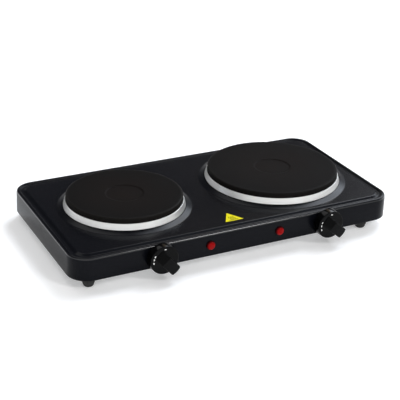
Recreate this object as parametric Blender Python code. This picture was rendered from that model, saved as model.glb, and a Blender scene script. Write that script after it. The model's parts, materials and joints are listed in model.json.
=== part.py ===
"""Two-plate electric hot plate: pressed-steel body, two cast-iron plates, two heat controls.

Metres, +Z up, +Y to the back. The feet stand on z = 0, and the middle of the whole outline,
knobs and cord gland included, is on the Z axis. Heights (z) are above the surface it stands on.
"""
from math import asin, cos, pi, radians, sin, sqrt

import bmesh
import bpy
from mathutils import Matrix, Vector

MM = 0.001
GAP = 0.3 * MM              # between pieces that touch
HOLE_GAP = 0.35 * MM        # round a screw, stud or bush in its hole

# Body: one sheet, drawn into a tray with a bead round its rim
BODY_WIDTH = 470 * MM
BODY_DEPTH = 244 * MM
WALL_HEIGHT = 32 * MM
WALL_DRAFT = 0.7 * MM       # how much further out the wall is at its foot
CORNER_RADIUS = 27 * MM
SHEET = 0.8 * MM
RIM_RADIUS = 3 * MM
BEAD_RADIUS = 2.2 * MM      # inner side of the rim, and the depth of the gutter
GUTTER_WIDTH = 3.8 * MM
STEP_WIDTH = 5 * MM         # slope from the gutter up to the panel
CURL_RADIUS = 1.5 * MM
FLANGE_WIDTH = 18 * MM
CORNER_STEPS = 5

# Embossed ring that carries each plate
BOSS_RISE = 2.7 * MM
BOSS_FOOT = 12 * MM         # beyond the plate's edge
BOSS_TOP = 4.1 * MM
SEAT = 4 * MM               # how far the hole is inside the plate's edge

# Feet and the base plate
FOOT_RADIUS = 8.9 * MM
FOOT_TIP_RADIUS = 5.2 * MM
FOOT_HEIGHT = 10.6 * MM
FOOT_FROM_FRONT = 13 * MM
FOOT_FROM_LEFT = 23 * MM
FOOT_FROM_RIGHT = 41.5 * MM
BASE_SHEET = 0.8 * MM
BASE_INSET = 3 * MM
SLOT_LENGTH = 46 * MM
SLOT_WIDTH = 4 * MM
SLOT_PITCH = 12 * MM
SLOT_COUNT = 5
SCREW_RADIUS = 1.75 * MM
SCREW_HEAD_RADIUS = 3.1 * MM
SCREW_HEAD_HEIGHT = 2.1 * MM
SCREW_LENGTH = 16 * MM
SCREW_SINK = 4 * MM         # depth of the pocket for the screw's head

# Hotplates: name, distance from the middle, radius
PLATES = {"left": (-116.7 * MM, 78.6 * MM), "right": (111.3 * MM, 92.5 * MM)}
PLATE_RISE = 18 * MM      # top face above the panel
PLATE_ROUND = 2 * MM
PLATE_TOP_WALL = 7 * MM
SKIRT_WALL = 4.4 * MM
SKIRT_DEPTH = 6 * MM        # below the panel
RECESS_RADIUS = 25 * MM
RECESS_DEPTH = 0.9 * MM
HUB_RADIUS = 12 * MM
RING_HEIGHT = 8.2 * MM
RING_SHEET = 0.7 * MM
RING_FLARE = 2.6 * MM       # how much wider the trim ring is at its foot
COIL_RADIUS = 2.4 * MM
COIL_INNER = 22 * MM
COIL_TURNS = 2.5
STUD_RADIUS = 2.9 * MM
STUD_DEPTH = 11 * MM
NUT_RADIUS = 6 * MM
NUT_HEIGHT = 5 * MM
COVER_SHEET = 0.8 * MM
COVER_LIP = 1.8 * MM
BRIDGE_SHEET = 2 * MM
BRIDGE_WIDTH = 16 * MM
TERMINAL_SIZE = (24 * MM, 14 * MM, 10 * MM)
TERMINAL_OFFSET = 37 * MM
CUTOUT_RADIUS = 9 * MM
CUTOUT_HEIGHT = 5.6 * MM
CUTOUT_OFFSET = 32 * MM

# Heat controls
CONTROLS = {"left": -120.4 * MM, "right": 125.4 * MM}
CONTROL_HEIGHT = 16.2 * MM  # above the foot of the wall
KNOB_RADIUS = 20 * MM
KNOB_TAPER = 0.8 * MM
KNOB_BACK = 3 * MM          # from the wall to the back of the knob
KNOB_FRONT = 14 * MM        # from the wall to the knob's round face
KNOB_WALL = 2 * MM
KNOB_EDGE = 1 * MM
GRIP_FRONT = 23.5 * MM
GRIP_WIDTH = 14.6 * MM
GRIP_LOW = 14.6 * MM        # front of the grip where its slope ends
GRIP_TIP = 12.8 * MM        # from the knob's axis to that end
GRIP_SLOPE_START = -3 * MM
GRIP_ANGLE = {"left": -48, "right": -40}
SHAFT_RADIUS = 2.95 * MM
RUNNING_FIT = 0.1 * MM
BUSH_WALL = 1.6 * MM
BUSH_REACH = 5.2 * MM
CONTROL_NUT_RADIUS = 8 * MM
CONTROL_NUT_HEIGHT = 2.3 * MM
FRAME_SHEET = 1.5 * MM
FRAME_WIDTH = 24 * MM
FRAME_UP = 11.5 * MM
FRAME_DOWN = 12 * MM
SHELF_LENGTH = 31 * MM
CAM_BEHIND_WALL = 5 * MM
CAM_THICK = 3 * MM
CAM_RADIUS = 5 * MM         # where the arm meets it at rest
CAM_LIFT = 2 * MM           # over the knob's whole turn
KNOB_TURN = 285             # degrees from stop to stop
CAM_MARGIN = 14             # degrees of spiral beyond each stop
ARM_SHEET = 0.6 * MM
ARM_WIDTH = 6 * MM
ARM_PIVOT = 26 * MM         # behind the wall
STACK_SIZE = 10 * MM
STACK_BEHIND_WALL = 21 * MM
STACK_SLOT = 2.5 * MM
BLADE_SHEET = 0.8 * MM
BLADE_LENGTH = 20 * MM

# Indicator lamps
LAMPS = {"left": -49.4 * MM, "right": 53.2 * MM}
LAMP_HEIGHT = 16 * MM
LENS_RADIUS = 6.2 * MM
LENS_RISE = 4.2 * MM
LENS_SHANK = 4.2 * MM
LENS_DEPTH = 8 * MM
LAMP_BODY_RADIUS = 5.8 * MM
LAMP_BODY_LENGTH = 20 * MM

# Cord gland, mains terminal, earth screw, leads, label
GLAND_X = 0 * MM
GLAND_REACH = 5 * MM
GLAND_RADIUS = 9 * MM
GLAND_NECK = 6.5 * MM
GLAND_BORE = 3.7 * MM
GLAND_TAIL = 8 * MM
MAINS_SIZE = (36 * MM, 16 * MM, 14 * MM)
MAINS_FROM_BACK = 44 * MM
EARTH_SPOT = (-45 * MM, 98 * MM)
LEAD_RADIUS = 1.1 * MM
LEAD_HEIGHT = 15 * MM
LABEL_SIDE = 27 * MM
LABEL_CENTRE = (-3 * MM, -92.2 * MM)
LABEL_CORNER = 0.6 * MM
LABEL_SHEET = 0.3 * MM

# Worked out from the sizes above
BASE_BOTTOM = FOOT_HEIGHT + GAP
BASE_TOP = BASE_BOTTOM + BASE_SHEET
WALL_BOTTOM = BASE_TOP + GAP
PANEL = WALL_BOTTOM + WALL_HEIGHT
CONTROL_Z = WALL_BOTTOM + CONTROL_HEIGHT
LAMP_Z = WALL_BOTTOM + LAMP_HEIGHT
STEP_START = RIM_RADIUS + BEAD_RADIUS + GUTTER_WIDTH
PANEL_INSET = STEP_START + STEP_WIDTH
BOSS_Z = PANEL + BOSS_RISE
PLATE_TOP = PANEL + PLATE_RISE
RING_BOTTOM = BOSS_Z + GAP
PLATE_SHOULDER = RING_BOTTOM + RING_SHEET + GAP
SKIRT_BOTTOM = PANEL - SKIRT_DEPTH
PLATE_CEILING = PLATE_TOP - RECESS_DEPTH - PLATE_TOP_WALL
COVER_TOP = SKIRT_BOTTOM - GAP
BRIDGE_TOP = COVER_TOP - COVER_LIP - GAP
BRIDGE_BOTTOM = BRIDGE_TOP - BRIDGE_SHEET


def wall_out(z):
    """How far the drafted wall stands outside the rim at a height."""
    top = PANEL - RIM_RADIUS
    foot = WALL_BOTTOM + CURL_RADIUS
    return WALL_DRAFT * (top - z) / (top - foot)


CONTROL_FACE = BODY_DEPTH / 2 + wall_out(CONTROL_Z)
LAMP_FACE = BODY_DEPTH / 2 + wall_out(LAMP_Z)
BODY_Y = (GRIP_FRONT - GLAND_REACH) / 2
MAINS_Y = BODY_DEPTH / 2 - MAINS_FROM_BACK

MATERIALS = {
    "black_enamel": ((0.012, 0.013, 0.015), 0.2, 0.35),
    "cast_iron": ((0.02, 0.018, 0.016), 0.3, 0.7),
    "stainless": ((0.72, 0.72, 0.7), 1.0, 0.25),
    "zinc_steel": ((0.55, 0.56, 0.57), 1.0, 0.4),
    "black_plastic": ((0.01, 0.01, 0.011), 0.0, 0.2),
    "red_lens": ((0.5, 0.01, 0.01), 0.0, 0.12),
    "white_plastic": ((0.75, 0.74, 0.7), 0.0, 0.5),
    "ceramic": ((0.8, 0.78, 0.72), 0.0, 0.6),
    "brass": ((0.75, 0.55, 0.25), 1.0, 0.3),
    "rubber": ((0.015, 0.015, 0.015), 0.0, 0.85),
    "yellow_label": ((0.85, 0.7, 0.02), 0.0, 0.45),
    "element_sheath": ((0.25, 0.22, 0.2), 0.8, 0.5),
    "lead_cover": ((0.5, 0.5, 0.48), 0.0, 0.7),
}


def material(name):
    """The named finish, made once."""
    if name in bpy.data.materials:
        return bpy.data.materials[name]
    colour, metallic, roughness = MATERIALS[name]
    finish = bpy.data.materials.new(name)
    finish.use_nodes = True
    shader = finish.node_tree.nodes["Principled BSDF"]
    shader.inputs["Base Color"].default_value = (*colour, 1)
    shader.inputs["Metallic"].default_value = metallic
    shader.inputs["Roughness"].default_value = roughness
    return finish


def on_body(x, y, z=0.0):
    """A place measured from the body's middle."""
    return Matrix.Translation((x, BODY_Y + y, z))


def facing_front(x, face, z):
    """Local x to the right, y up, z out of the front wall, from the wall's outer face."""
    return on_body(x, -face, z) @ Matrix.Rotation(pi / 2, 4, "X")


def add_object(name, shape, finish, matrix):
    """Turns a bmesh into a named object with its faces pointing out."""
    bmesh.ops.recalc_face_normals(shape, faces=shape.faces[:])
    mesh = bpy.data.meshes.new(name)
    shape.to_mesh(mesh)
    shape.free()
    mesh.shade_smooth()
    mesh.set_sharp_from_angle(angle=radians(30))
    mesh.materials.append(material(finish))
    piece = bpy.data.objects.new(name, mesh)
    piece.matrix_world = matrix
    bpy.context.collection.objects.link(piece)
    return piece


def circle(radius, count, x=0.0, y=0.0, start=0.0):
    """Points of a circle in a plane, anticlockwise."""
    angles = [start + 2 * pi * k / count for k in range(count)]
    return [(x + radius * cos(a), y + radius * sin(a)) for a in angles]


def rounded_rectangle(half_x, half_y, radius, steps=CORNER_STEPS):
    """Points of a rectangle with round corners, anticlockwise."""
    points = []
    for sign_x, sign_y, start in ((1, 1, 0), (-1, 1, 90), (-1, -1, 180), (1, -1, 270)):
        for k in range(steps + 1):
            angle = radians(start + 90 * k / steps)
            x = sign_x * (half_x - radius) + radius * cos(angle)
            y = sign_y * (half_y - radius) + radius * sin(angle)
            points.append((x, y))
    return points


def rectangle(x0, x1, y0, y1):
    """Corners of a rectangle, anticlockwise."""
    return [(x0, y0), (x1, y0), (x1, y1), (x0, y1)]


def turned(name, profile, segments, finish, matrix):
    """A solid turned about local Z from (radius, height) points, a ring if none is on the axis."""
    shape = bmesh.new()
    rings = []
    for radius, height in profile:
        count = segments if radius > 0 else 1
        ring = [shape.verts.new((x, y, height)) for x, y in circle(radius, count)]
        rings.append(ring)
    is_ring = all(len(ring) > 1 for ring in rings)
    bands = len(rings) if is_ring else len(rings) - 1
    for i in range(bands):
        low = rings[i]
        high = rings[(i + 1) % len(rings)]
        for k in range(segments):
            following = (k + 1) % segments
            corners = [low[k % len(low)], low[following % len(low)]]
            corners += [high[following % len(high)], high[k % len(high)]]
            shape.faces.new(dict.fromkeys(corners))
    return add_object(name, shape, finish, matrix)


def prism(name, outline, low, high, finish, matrix, axis="Z"):
    """An outline pushed along an axis: (x, y) along Z, (x, z) along Y, or (y, z) along X."""
    order = {"Z": (0, 1, 2), "Y": (0, 2, 1), "X": (2, 0, 1)}[axis]
    shape = bmesh.new()
    ends = []
    for level in (low, high):
        points = [(u, v, level) for u, v in outline]
        ends.append([shape.verts.new([p[i] for i in order]) for p in points])
    shape.faces.new(ends[0])
    shape.faces.new(ends[1])
    for k in range(len(outline)):
        following = (k + 1) % len(outline)
        shape.faces.new((ends[0][k], ends[0][following], ends[1][following], ends[1][k]))
    return add_object(name, shape, finish, matrix)


def add_loop(shape, points, z):
    """A closed loop of vertices and edges at one height."""
    verts = [shape.verts.new((x, y, z)) for x, y in points]
    edges = []
    for k, vert in enumerate(verts):
        edges.append(shape.edges.new((vert, verts[(k + 1) % len(verts)])))
    return verts, edges


def perforated(name, outline, holes, low, high, finish, matrix):
    """A flat sheet between two heights, with holes through it."""
    shape = bmesh.new()
    edges = []
    for points in [outline] + holes:
        edges += add_loop(shape, points, low)[1]
    bmesh.ops.triangle_fill(shape, use_beauty=True, edges=edges)
    extruded = bmesh.ops.extrude_face_region(shape, geom=shape.faces[:], use_keep_orig=True)
    moved = [item for item in extruded["geom"] if isinstance(item, bmesh.types.BMVert)]
    bmesh.ops.translate(shape, verts=moved, vec=(0, 0, high - low))
    return add_object(name, shape, finish, matrix)


def helper(piece):
    """Marks an object that only shapes another."""
    piece.hide_render = True
    piece.display_type = "WIRE"
    return piece


def combine(piece, other, operation):
    """Joins a helper to a piece, or cuts it away."""
    modifier = piece.modifiers.new(operation.lower(), "BOOLEAN")
    modifier.operation = operation
    modifier.solver = "EXACT"
    modifier.object = helper(other)


def drill(piece, name, places, radius, low, high, sides=12):
    """Round holes along local Z through a piece, at a list of matrices."""
    for number, matrix in enumerate(places):
        outline = circle(radius, sides, start=pi / sides)
        tool = prism(f"{name}_{number}", outline, low, high, "zinc_steel", matrix)
        combine(piece, tool, "DIFFERENCE")


def foot_spots():
    """Where the four feet are, by name."""
    left = -BODY_WIDTH / 2 + FOOT_FROM_LEFT
    right = BODY_WIDTH / 2 - FOOT_FROM_RIGHT
    front = -BODY_DEPTH / 2 + FOOT_FROM_FRONT
    return {
        "front_left": (left, front),
        "front_right": (right, front),
        "rear_left": (left, -front),
        "rear_right": (right, -front),
    }


def body_rings():
    """Outline insets and heights of the sheet's outer side, from flange to panel."""
    rings = [(FLANGE_WIDTH, WALL_BOTTOM)]
    for k in range(3):
        angle = radians(45 * k)
        inset = CURL_RADIUS * (1 - sin(angle)) - WALL_DRAFT
        rings.append((inset, WALL_BOTTOM + CURL_RADIUS * (1 - cos(angle))))
    for k in range(4):
        angle = radians(30 * k)
        inset = RIM_RADIUS * (1 - cos(angle))
        rings.append((inset, PANEL - RIM_RADIUS * (1 - sin(angle))))
    for k in range(1, 4):
        angle = radians(30 * k)
        inset = RIM_RADIUS + BEAD_RADIUS * sin(angle)
        rings.append((inset, PANEL - BEAD_RADIUS * (1 - cos(angle))))
    rings.append((STEP_START, PANEL - BEAD_RADIUS))
    for across, up in ((0.32, 0.62), (0.6, 0.9)):
        rings.append((STEP_START + across * STEP_WIDTH, PANEL - (1 - up) * BEAD_RADIUS))
    rings.append((PANEL_INSET, PANEL))
    return rings


def bridge_loops(shape, first, second):
    """Faces between two loops with the same number of vertices."""
    for k in range(len(first)):
        following = (k + 1) % len(first)
        shape.faces.new((first[k], first[following], second[following], second[k]))


def make_housing():
    """The pressed body: drawn as one surface, then given the sheet's thickness."""
    shape = bmesh.new()
    loops = []
    for inset, z in body_rings():
        half_x = BODY_WIDTH / 2 - inset
        half_y = BODY_DEPTH / 2 - inset
        radius = CORNER_RADIUS - inset
        loops.append(add_loop(shape, rounded_rectangle(half_x, half_y, radius), z))
    for first, second in zip(loops, loops[1:]):
        bridge_loops(shape, first[0], second[0])
    edges = list(loops[-1][1])
    slope = BOSS_FOOT - BOSS_TOP
    for x, radius in PLATES.values():
        rings = [(radius + BOSS_FOOT, 0), (radius + BOSS_FOOT - 0.3 * slope, 0.2)]
        rings += [(radius + BOSS_TOP + 0.3 * slope, 0.85), (radius + BOSS_TOP, 1)]
        rings += [(radius - SEAT, 1)]
        circles = []
        for reach, share in rings:
            circles.append(add_loop(shape, circle(reach, 36, x), PANEL + share * BOSS_RISE))
        edges += circles[0][1]
        for first, second in zip(circles, circles[1:]):
            bridge_loops(shape, first[0], second[0])
    bmesh.ops.triangle_fill(shape, use_beauty=True, edges=edges)
    housing = add_object("housing", shape, "black_enamel", on_body(0, 0))
    top = max(housing.data.polygons, key=lambda face: face.center.z * face.area)
    if top.normal.z < 0:
        housing.data.flip_normals()
    thickness = housing.modifiers.new("sheet", "SOLIDIFY")
    thickness.thickness = SHEET
    thickness.offset = -1
    thickness.use_even_offset = True
    depth = 4 * SHEET
    controls = [facing_front(x, CONTROL_FACE, CONTROL_Z) for x in CONTROLS.values()]
    bush = SHAFT_RADIUS + RUNNING_FIT + BUSH_WALL
    drill(housing, "bush_hole", controls, bush + HOLE_GAP, -depth, depth)
    lamps = [facing_front(x, LAMP_FACE, LAMP_Z) for x in LAMPS.values()]
    drill(housing, "lamp_hole", lamps, LENS_SHANK + HOLE_GAP, -depth, depth)
    back = [facing_front(GLAND_X, -CONTROL_FACE, CONTROL_Z)]
    drill(housing, "cord_hole", back, GLAND_NECK + HOLE_GAP, -depth, depth)
    screws = [on_body(x, y, WALL_BOTTOM) for x, y in foot_spots().values()]
    drill(housing, "flange_hole", screws, SCREW_RADIUS + HOLE_GAP, -depth, depth)


def make_base_plate():
    """Flat bottom sheet with the feet's screw holes, vent slots and an earth screw hole."""
    outline = rounded_rectangle(
        BODY_WIDTH / 2 - BASE_INSET, BODY_DEPTH / 2 - BASE_INSET, CORNER_RADIUS - BASE_INSET
    )
    holes = [circle(SCREW_RADIUS + HOLE_GAP, 10, x, y) for x, y in foot_spots().values()]
    holes.append(circle(SCREW_RADIUS + HOLE_GAP, 10, *EARTH_SPOT))
    for x, _ in PLATES.values():
        for k in range(SLOT_COUNT):
            y = (k - (SLOT_COUNT - 1) / 2) * SLOT_PITCH
            x0 = x - SLOT_LENGTH / 2
            holes.append(rectangle(x0, x0 + SLOT_LENGTH, y - SLOT_WIDTH / 2, y + SLOT_WIDTH / 2))
    perforated("base_plate", outline, holes, BASE_BOTTOM, BASE_TOP, "zinc_steel", on_body(0, 0))


def screw(name, x, y, head_z, length, head_up):
    """A pan-head screw on a vertical line, its head above or below its shank."""
    sign = 1 if head_up else -1
    chamfer = 0.4 * SCREW_HEAD_HEIGHT
    profile = [
        (0, head_z + sign * SCREW_HEAD_HEIGHT),
        (SCREW_HEAD_RADIUS - chamfer, head_z + sign * SCREW_HEAD_HEIGHT),
        (SCREW_HEAD_RADIUS, head_z + sign * (SCREW_HEAD_HEIGHT - chamfer)),
        (SCREW_HEAD_RADIUS, head_z),
        (SCREW_RADIUS, head_z),
        (SCREW_RADIUS, head_z - sign * (length - SCREW_RADIUS)),
        (0, head_z - sign * length),
    ]
    turned(name, profile, 10, "zinc_steel", on_body(x, y))


def make_feet():
    """Tapered rubber feet, each held by a screw up through it, the base plate and the flange."""
    hole = SCREW_RADIUS + HOLE_GAP
    pocket = SCREW_HEAD_RADIUS + HOLE_GAP
    slant = FOOT_RADIUS - FOOT_TIP_RADIUS
    profile = [
        (hole, FOOT_HEIGHT),
        (FOOT_RADIUS, FOOT_HEIGHT),
        (FOOT_RADIUS, 0.85 * FOOT_HEIGHT),
        (FOOT_TIP_RADIUS + 0.5 * slant, 0.18 * FOOT_HEIGHT),
        (FOOT_TIP_RADIUS, 0),
        (pocket, 0),
        (pocket, SCREW_SINK),
        (hole, SCREW_SINK),
    ]
    for name, (x, y) in foot_spots().items():
        turned(f"foot_{name}", profile, 14, "rubber", on_body(x, y))
        screw(f"foot_screw_{name}", x, y, SCREW_SINK - GAP, SCREW_LENGTH, head_up=False)


def plate_profile(radius):
    """Half section of a cast plate: rounded top, skirt, hub with a blind hole for the stud."""
    skirt_out = radius - SEAT - 2 * GAP
    skirt_in = skirt_out - SKIRT_WALL
    bore = STUD_RADIUS + HOLE_GAP
    corner = PLATE_ROUND * (1 - sqrt(0.5))
    return [
        (0, SKIRT_BOTTOM + STUD_DEPTH),
        (bore, SKIRT_BOTTOM + STUD_DEPTH),
        (bore, SKIRT_BOTTOM),
        (HUB_RADIUS, SKIRT_BOTTOM),
        (HUB_RADIUS, PLATE_CEILING),
        (skirt_in, PLATE_CEILING),
        (skirt_in, SKIRT_BOTTOM),
        (skirt_out, SKIRT_BOTTOM),
        (skirt_out, PLATE_SHOULDER),
        (radius, PLATE_SHOULDER),
        (radius, PLATE_TOP - PLATE_ROUND),
        (radius - corner, PLATE_TOP - corner),
        (radius - PLATE_ROUND, PLATE_TOP),
        (RECESS_RADIUS + RECESS_DEPTH, PLATE_TOP),
        (RECESS_RADIUS - RECESS_DEPTH, PLATE_TOP - RECESS_DEPTH),
        (0, PLATE_TOP - RECESS_DEPTH),
    ]


def ring_profile(radius):
    """Section of a trim ring: a flange under the plate's shoulder and a flared wall."""
    flange_top = RING_BOTTOM + RING_SHEET
    lip_in = radius + GAP
    foot_out = lip_in + RING_SHEET + RING_FLARE
    top = RING_BOTTOM + RING_HEIGHT
    return [
        (radius - SEAT, RING_BOTTOM),
        (foot_out, RING_BOTTOM),
        (lip_in + RING_SHEET, top),
        (lip_in, top),
        (foot_out - 1.4 * RING_SHEET, flange_top),
        (radius - SEAT, flange_top),
    ]


def make_coil(side, x, radius):
    """Spiral heating element under the plate's heated zone."""
    curve = bpy.data.curves.new(f"heating_coil_{side}", "CURVE")
    curve.dimensions = "3D"
    curve.bevel_depth = COIL_RADIUS
    curve.bevel_resolution = 1
    curve.use_fill_caps = True
    steps = int(COIL_TURNS * 14)
    outer = radius - SEAT - SKIRT_WALL - 2.5 * COIL_RADIUS
    spline = curve.splines.new("POLY")
    spline.points.add(steps)
    height = PLATE_CEILING - COIL_RADIUS - 2 * GAP
    for k in range(steps + 1):
        share = k / steps
        reach = COIL_INNER + (outer - COIL_INNER) * share
        angle = 2 * pi * COIL_TURNS * share
        spline.points[k].co = (reach * cos(angle), reach * sin(angle), height, 1)
    curve.materials.append(material("element_sheath"))
    coil = bpy.data.objects.new(curve.name, curve)
    coil.matrix_world = on_body(x, 0)
    bpy.context.collection.objects.link(coil)


def make_bridge(side, x, radius):
    """Strap across the opening, whose two ends pull up under the embossed ring."""
    leg_in = radius - SEAT + GAP
    leg_out = leg_in + BRIDGE_SHEET
    tip = radius + BOSS_TOP - SHEET
    top = BOSS_Z - SHEET - GAP
    right = [
        (leg_out, BRIDGE_BOTTOM),
        (leg_out, top - BRIDGE_SHEET),
        (tip, top - BRIDGE_SHEET),
        (tip, top),
        (leg_in, top),
        (leg_in, BRIDGE_TOP),
    ]
    outline = right + [(-u, z) for u, z in reversed(right)]
    half = BRIDGE_WIDTH / 2
    name = f"clamp_bridge_{side}"
    bridge = prism(name, outline, -half, half, "zinc_steel", on_body(x, 0), axis="Y")
    drill(bridge, f"stud_hole_{side}", [on_body(x, 0)], STUD_RADIUS + HOLE_GAP,
          BRIDGE_BOTTOM - GAP, BRIDGE_TOP + GAP)


def make_plate_assembly(side, x, radius):
    """Everything that one hotplate is made of, from its cast plate down to its nut."""
    place = on_body(x, 0)
    turned(f"hotplate_{side}", plate_profile(radius), 36, "cast_iron", place)
    turned(f"trim_ring_{side}", ring_profile(radius), 36, "stainless", place)
    make_coil(side, x, radius)
    hole = STUD_RADIUS + HOLE_GAP
    lip = radius - SEAT - 2 * GAP
    cover = [
        (hole, COVER_TOP - COVER_SHEET),
        (lip - COVER_SHEET, COVER_TOP - COVER_SHEET),
        (lip - COVER_SHEET, COVER_TOP - COVER_LIP),
        (lip, COVER_TOP - COVER_LIP),
        (lip, COVER_TOP),
        (hole, COVER_TOP),
    ]
    turned(f"element_cover_{side}", cover, 28, "zinc_steel", place)
    make_bridge(side, x, radius)
    nut_top = BRIDGE_BOTTOM - GAP
    nut_bottom = nut_top - NUT_HEIGHT
    stud_top = SKIRT_BOTTOM + STUD_DEPTH - GAP
    stud = circle(STUD_RADIUS, 12)
    prism(f"clamp_stud_{side}", stud, nut_bottom - STUD_RADIUS, stud_top, "zinc_steel", place)
    perforated(f"clamp_nut_{side}", circle(NUT_RADIUS, 6), [circle(hole, 12)],
               nut_bottom, nut_top, "zinc_steel", place)
    under = COVER_TOP - COVER_SHEET - GAP
    wide, deep, tall = TERMINAL_SIZE
    tower = wide / 5
    outline = [(-wide / 2, under - tall), (wide / 2, under - tall), (wide / 2, under)]
    outline += [(wide / 2 - tower, under), (wide / 2 - tower, under - tall / 2)]
    outline += [(tower / 2, under - tall / 2), (tower / 2, under), (-tower / 2, under)]
    outline += [(-tower / 2, under - tall / 2), (tower - wide / 2, under - tall / 2)]
    outline += [(tower - wide / 2, under), (-wide / 2, under)]
    near = TERMINAL_OFFSET - deep / 2
    prism(f"element_terminal_{side}", outline, near, near + deep, "ceramic", place, axis="Y")
    brim = CUTOUT_RADIUS / 6
    cutout = [
        (0, under),
        (CUTOUT_RADIUS, under),
        (CUTOUT_RADIUS, under - COVER_SHEET),
        (CUTOUT_RADIUS - brim, under - COVER_SHEET),
        (CUTOUT_RADIUS - brim, under - CUTOUT_HEIGHT),
        (0, under - CUTOUT_HEIGHT),
    ]
    turned(f"thermal_cutout_{side}", cutout, 16, "zinc_steel", on_body(x, -CUTOUT_OFFSET))


def grip_bar(side, place):
    """The bar across the knob: flat in front, sloping down towards its upper end."""
    angle = radians(GRIP_ANGLE[side])
    reach = KNOB_RADIUS - KNOB_TAPER
    half = GRIP_WIDTH / 2
    half_angle = asin(half / reach)
    arc = [half_angle * k / 2 for k in range(-2, 3)]
    high_end = [(reach * cos(a), reach * sin(a)) for a in arc] + [(GRIP_SLOPE_START, half)]
    low_end = [(-GRIP_TIP, half), (-GRIP_TIP, -half), (GRIP_SLOPE_START, -half)]
    slope = (GRIP_FRONT - GRIP_LOW) / (GRIP_SLOPE_START + GRIP_TIP)
    shape = bmesh.new()
    rows = []
    for height in (None, KNOB_FRONT - KNOB_EDGE):
        row = []
        for u, v in high_end + low_end:
            x = u * cos(angle) - v * sin(angle)
            y = u * sin(angle) + v * cos(angle)
            drop = slope * max(0, GRIP_SLOPE_START - u)
            z = GRIP_FRONT - drop if height is None else height
            row.append(shape.verts.new((x, y, z)))
        rows.append(row)
    bridge_loops(shape, rows[0], rows[1])
    shape.faces.new(rows[1])
    flat = len(high_end)
    shape.faces.new(rows[0][:flat] + [rows[0][-1]])
    shape.faces.new(rows[0][flat - 1:])
    return add_object(f"grip_{side}", shape, "black_plastic", place)


def make_knob(side, place):
    """A hollow round knob with a raised grip, its origin on the shaft's axis."""
    bore = SHAFT_RADIUS + HOLE_GAP
    hub = bore + KNOB_WALL
    face_radius = KNOB_RADIUS - KNOB_TAPER
    roof = KNOB_FRONT - KNOB_WALL
    profile = [
        (0, roof),
        (bore, roof),
        (bore, BUSH_REACH + GAP),
        (hub, BUSH_REACH + GAP),
        (hub, roof),
        (face_radius - KNOB_WALL, roof),
        (KNOB_RADIUS - KNOB_WALL, KNOB_BACK),
        (KNOB_RADIUS, KNOB_BACK),
        (face_radius, KNOB_FRONT - KNOB_EDGE),
        (face_radius - KNOB_EDGE, KNOB_FRONT),
        (0, KNOB_FRONT),
    ]
    knob = turned(f"knob_{side}", profile, 28, "black_plastic", place)
    combine(knob, grip_bar(side, place), "UNION")


def cam_outline():
    """Spiral that grows evenly with the knob's turn, then drops back to where it began."""
    rate = CAM_LIFT / KNOB_TURN
    points = []
    first = -CAM_MARGIN
    last = KNOB_TURN + CAM_MARGIN
    steps = 30
    for k in range(steps + 1):
        turn = first + (last - first) * k / steps
        reach = CAM_RADIUS + rate * turn
        angle = radians(-90 + turn)
        points.append((reach * cos(angle), reach * sin(angle)))
    middle = radians(-90 + (last + first + 360) / 2)
    reach = CAM_RADIUS + CAM_LIFT / 2
    points.append((reach * cos(middle), reach * sin(middle)))
    return points


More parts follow.
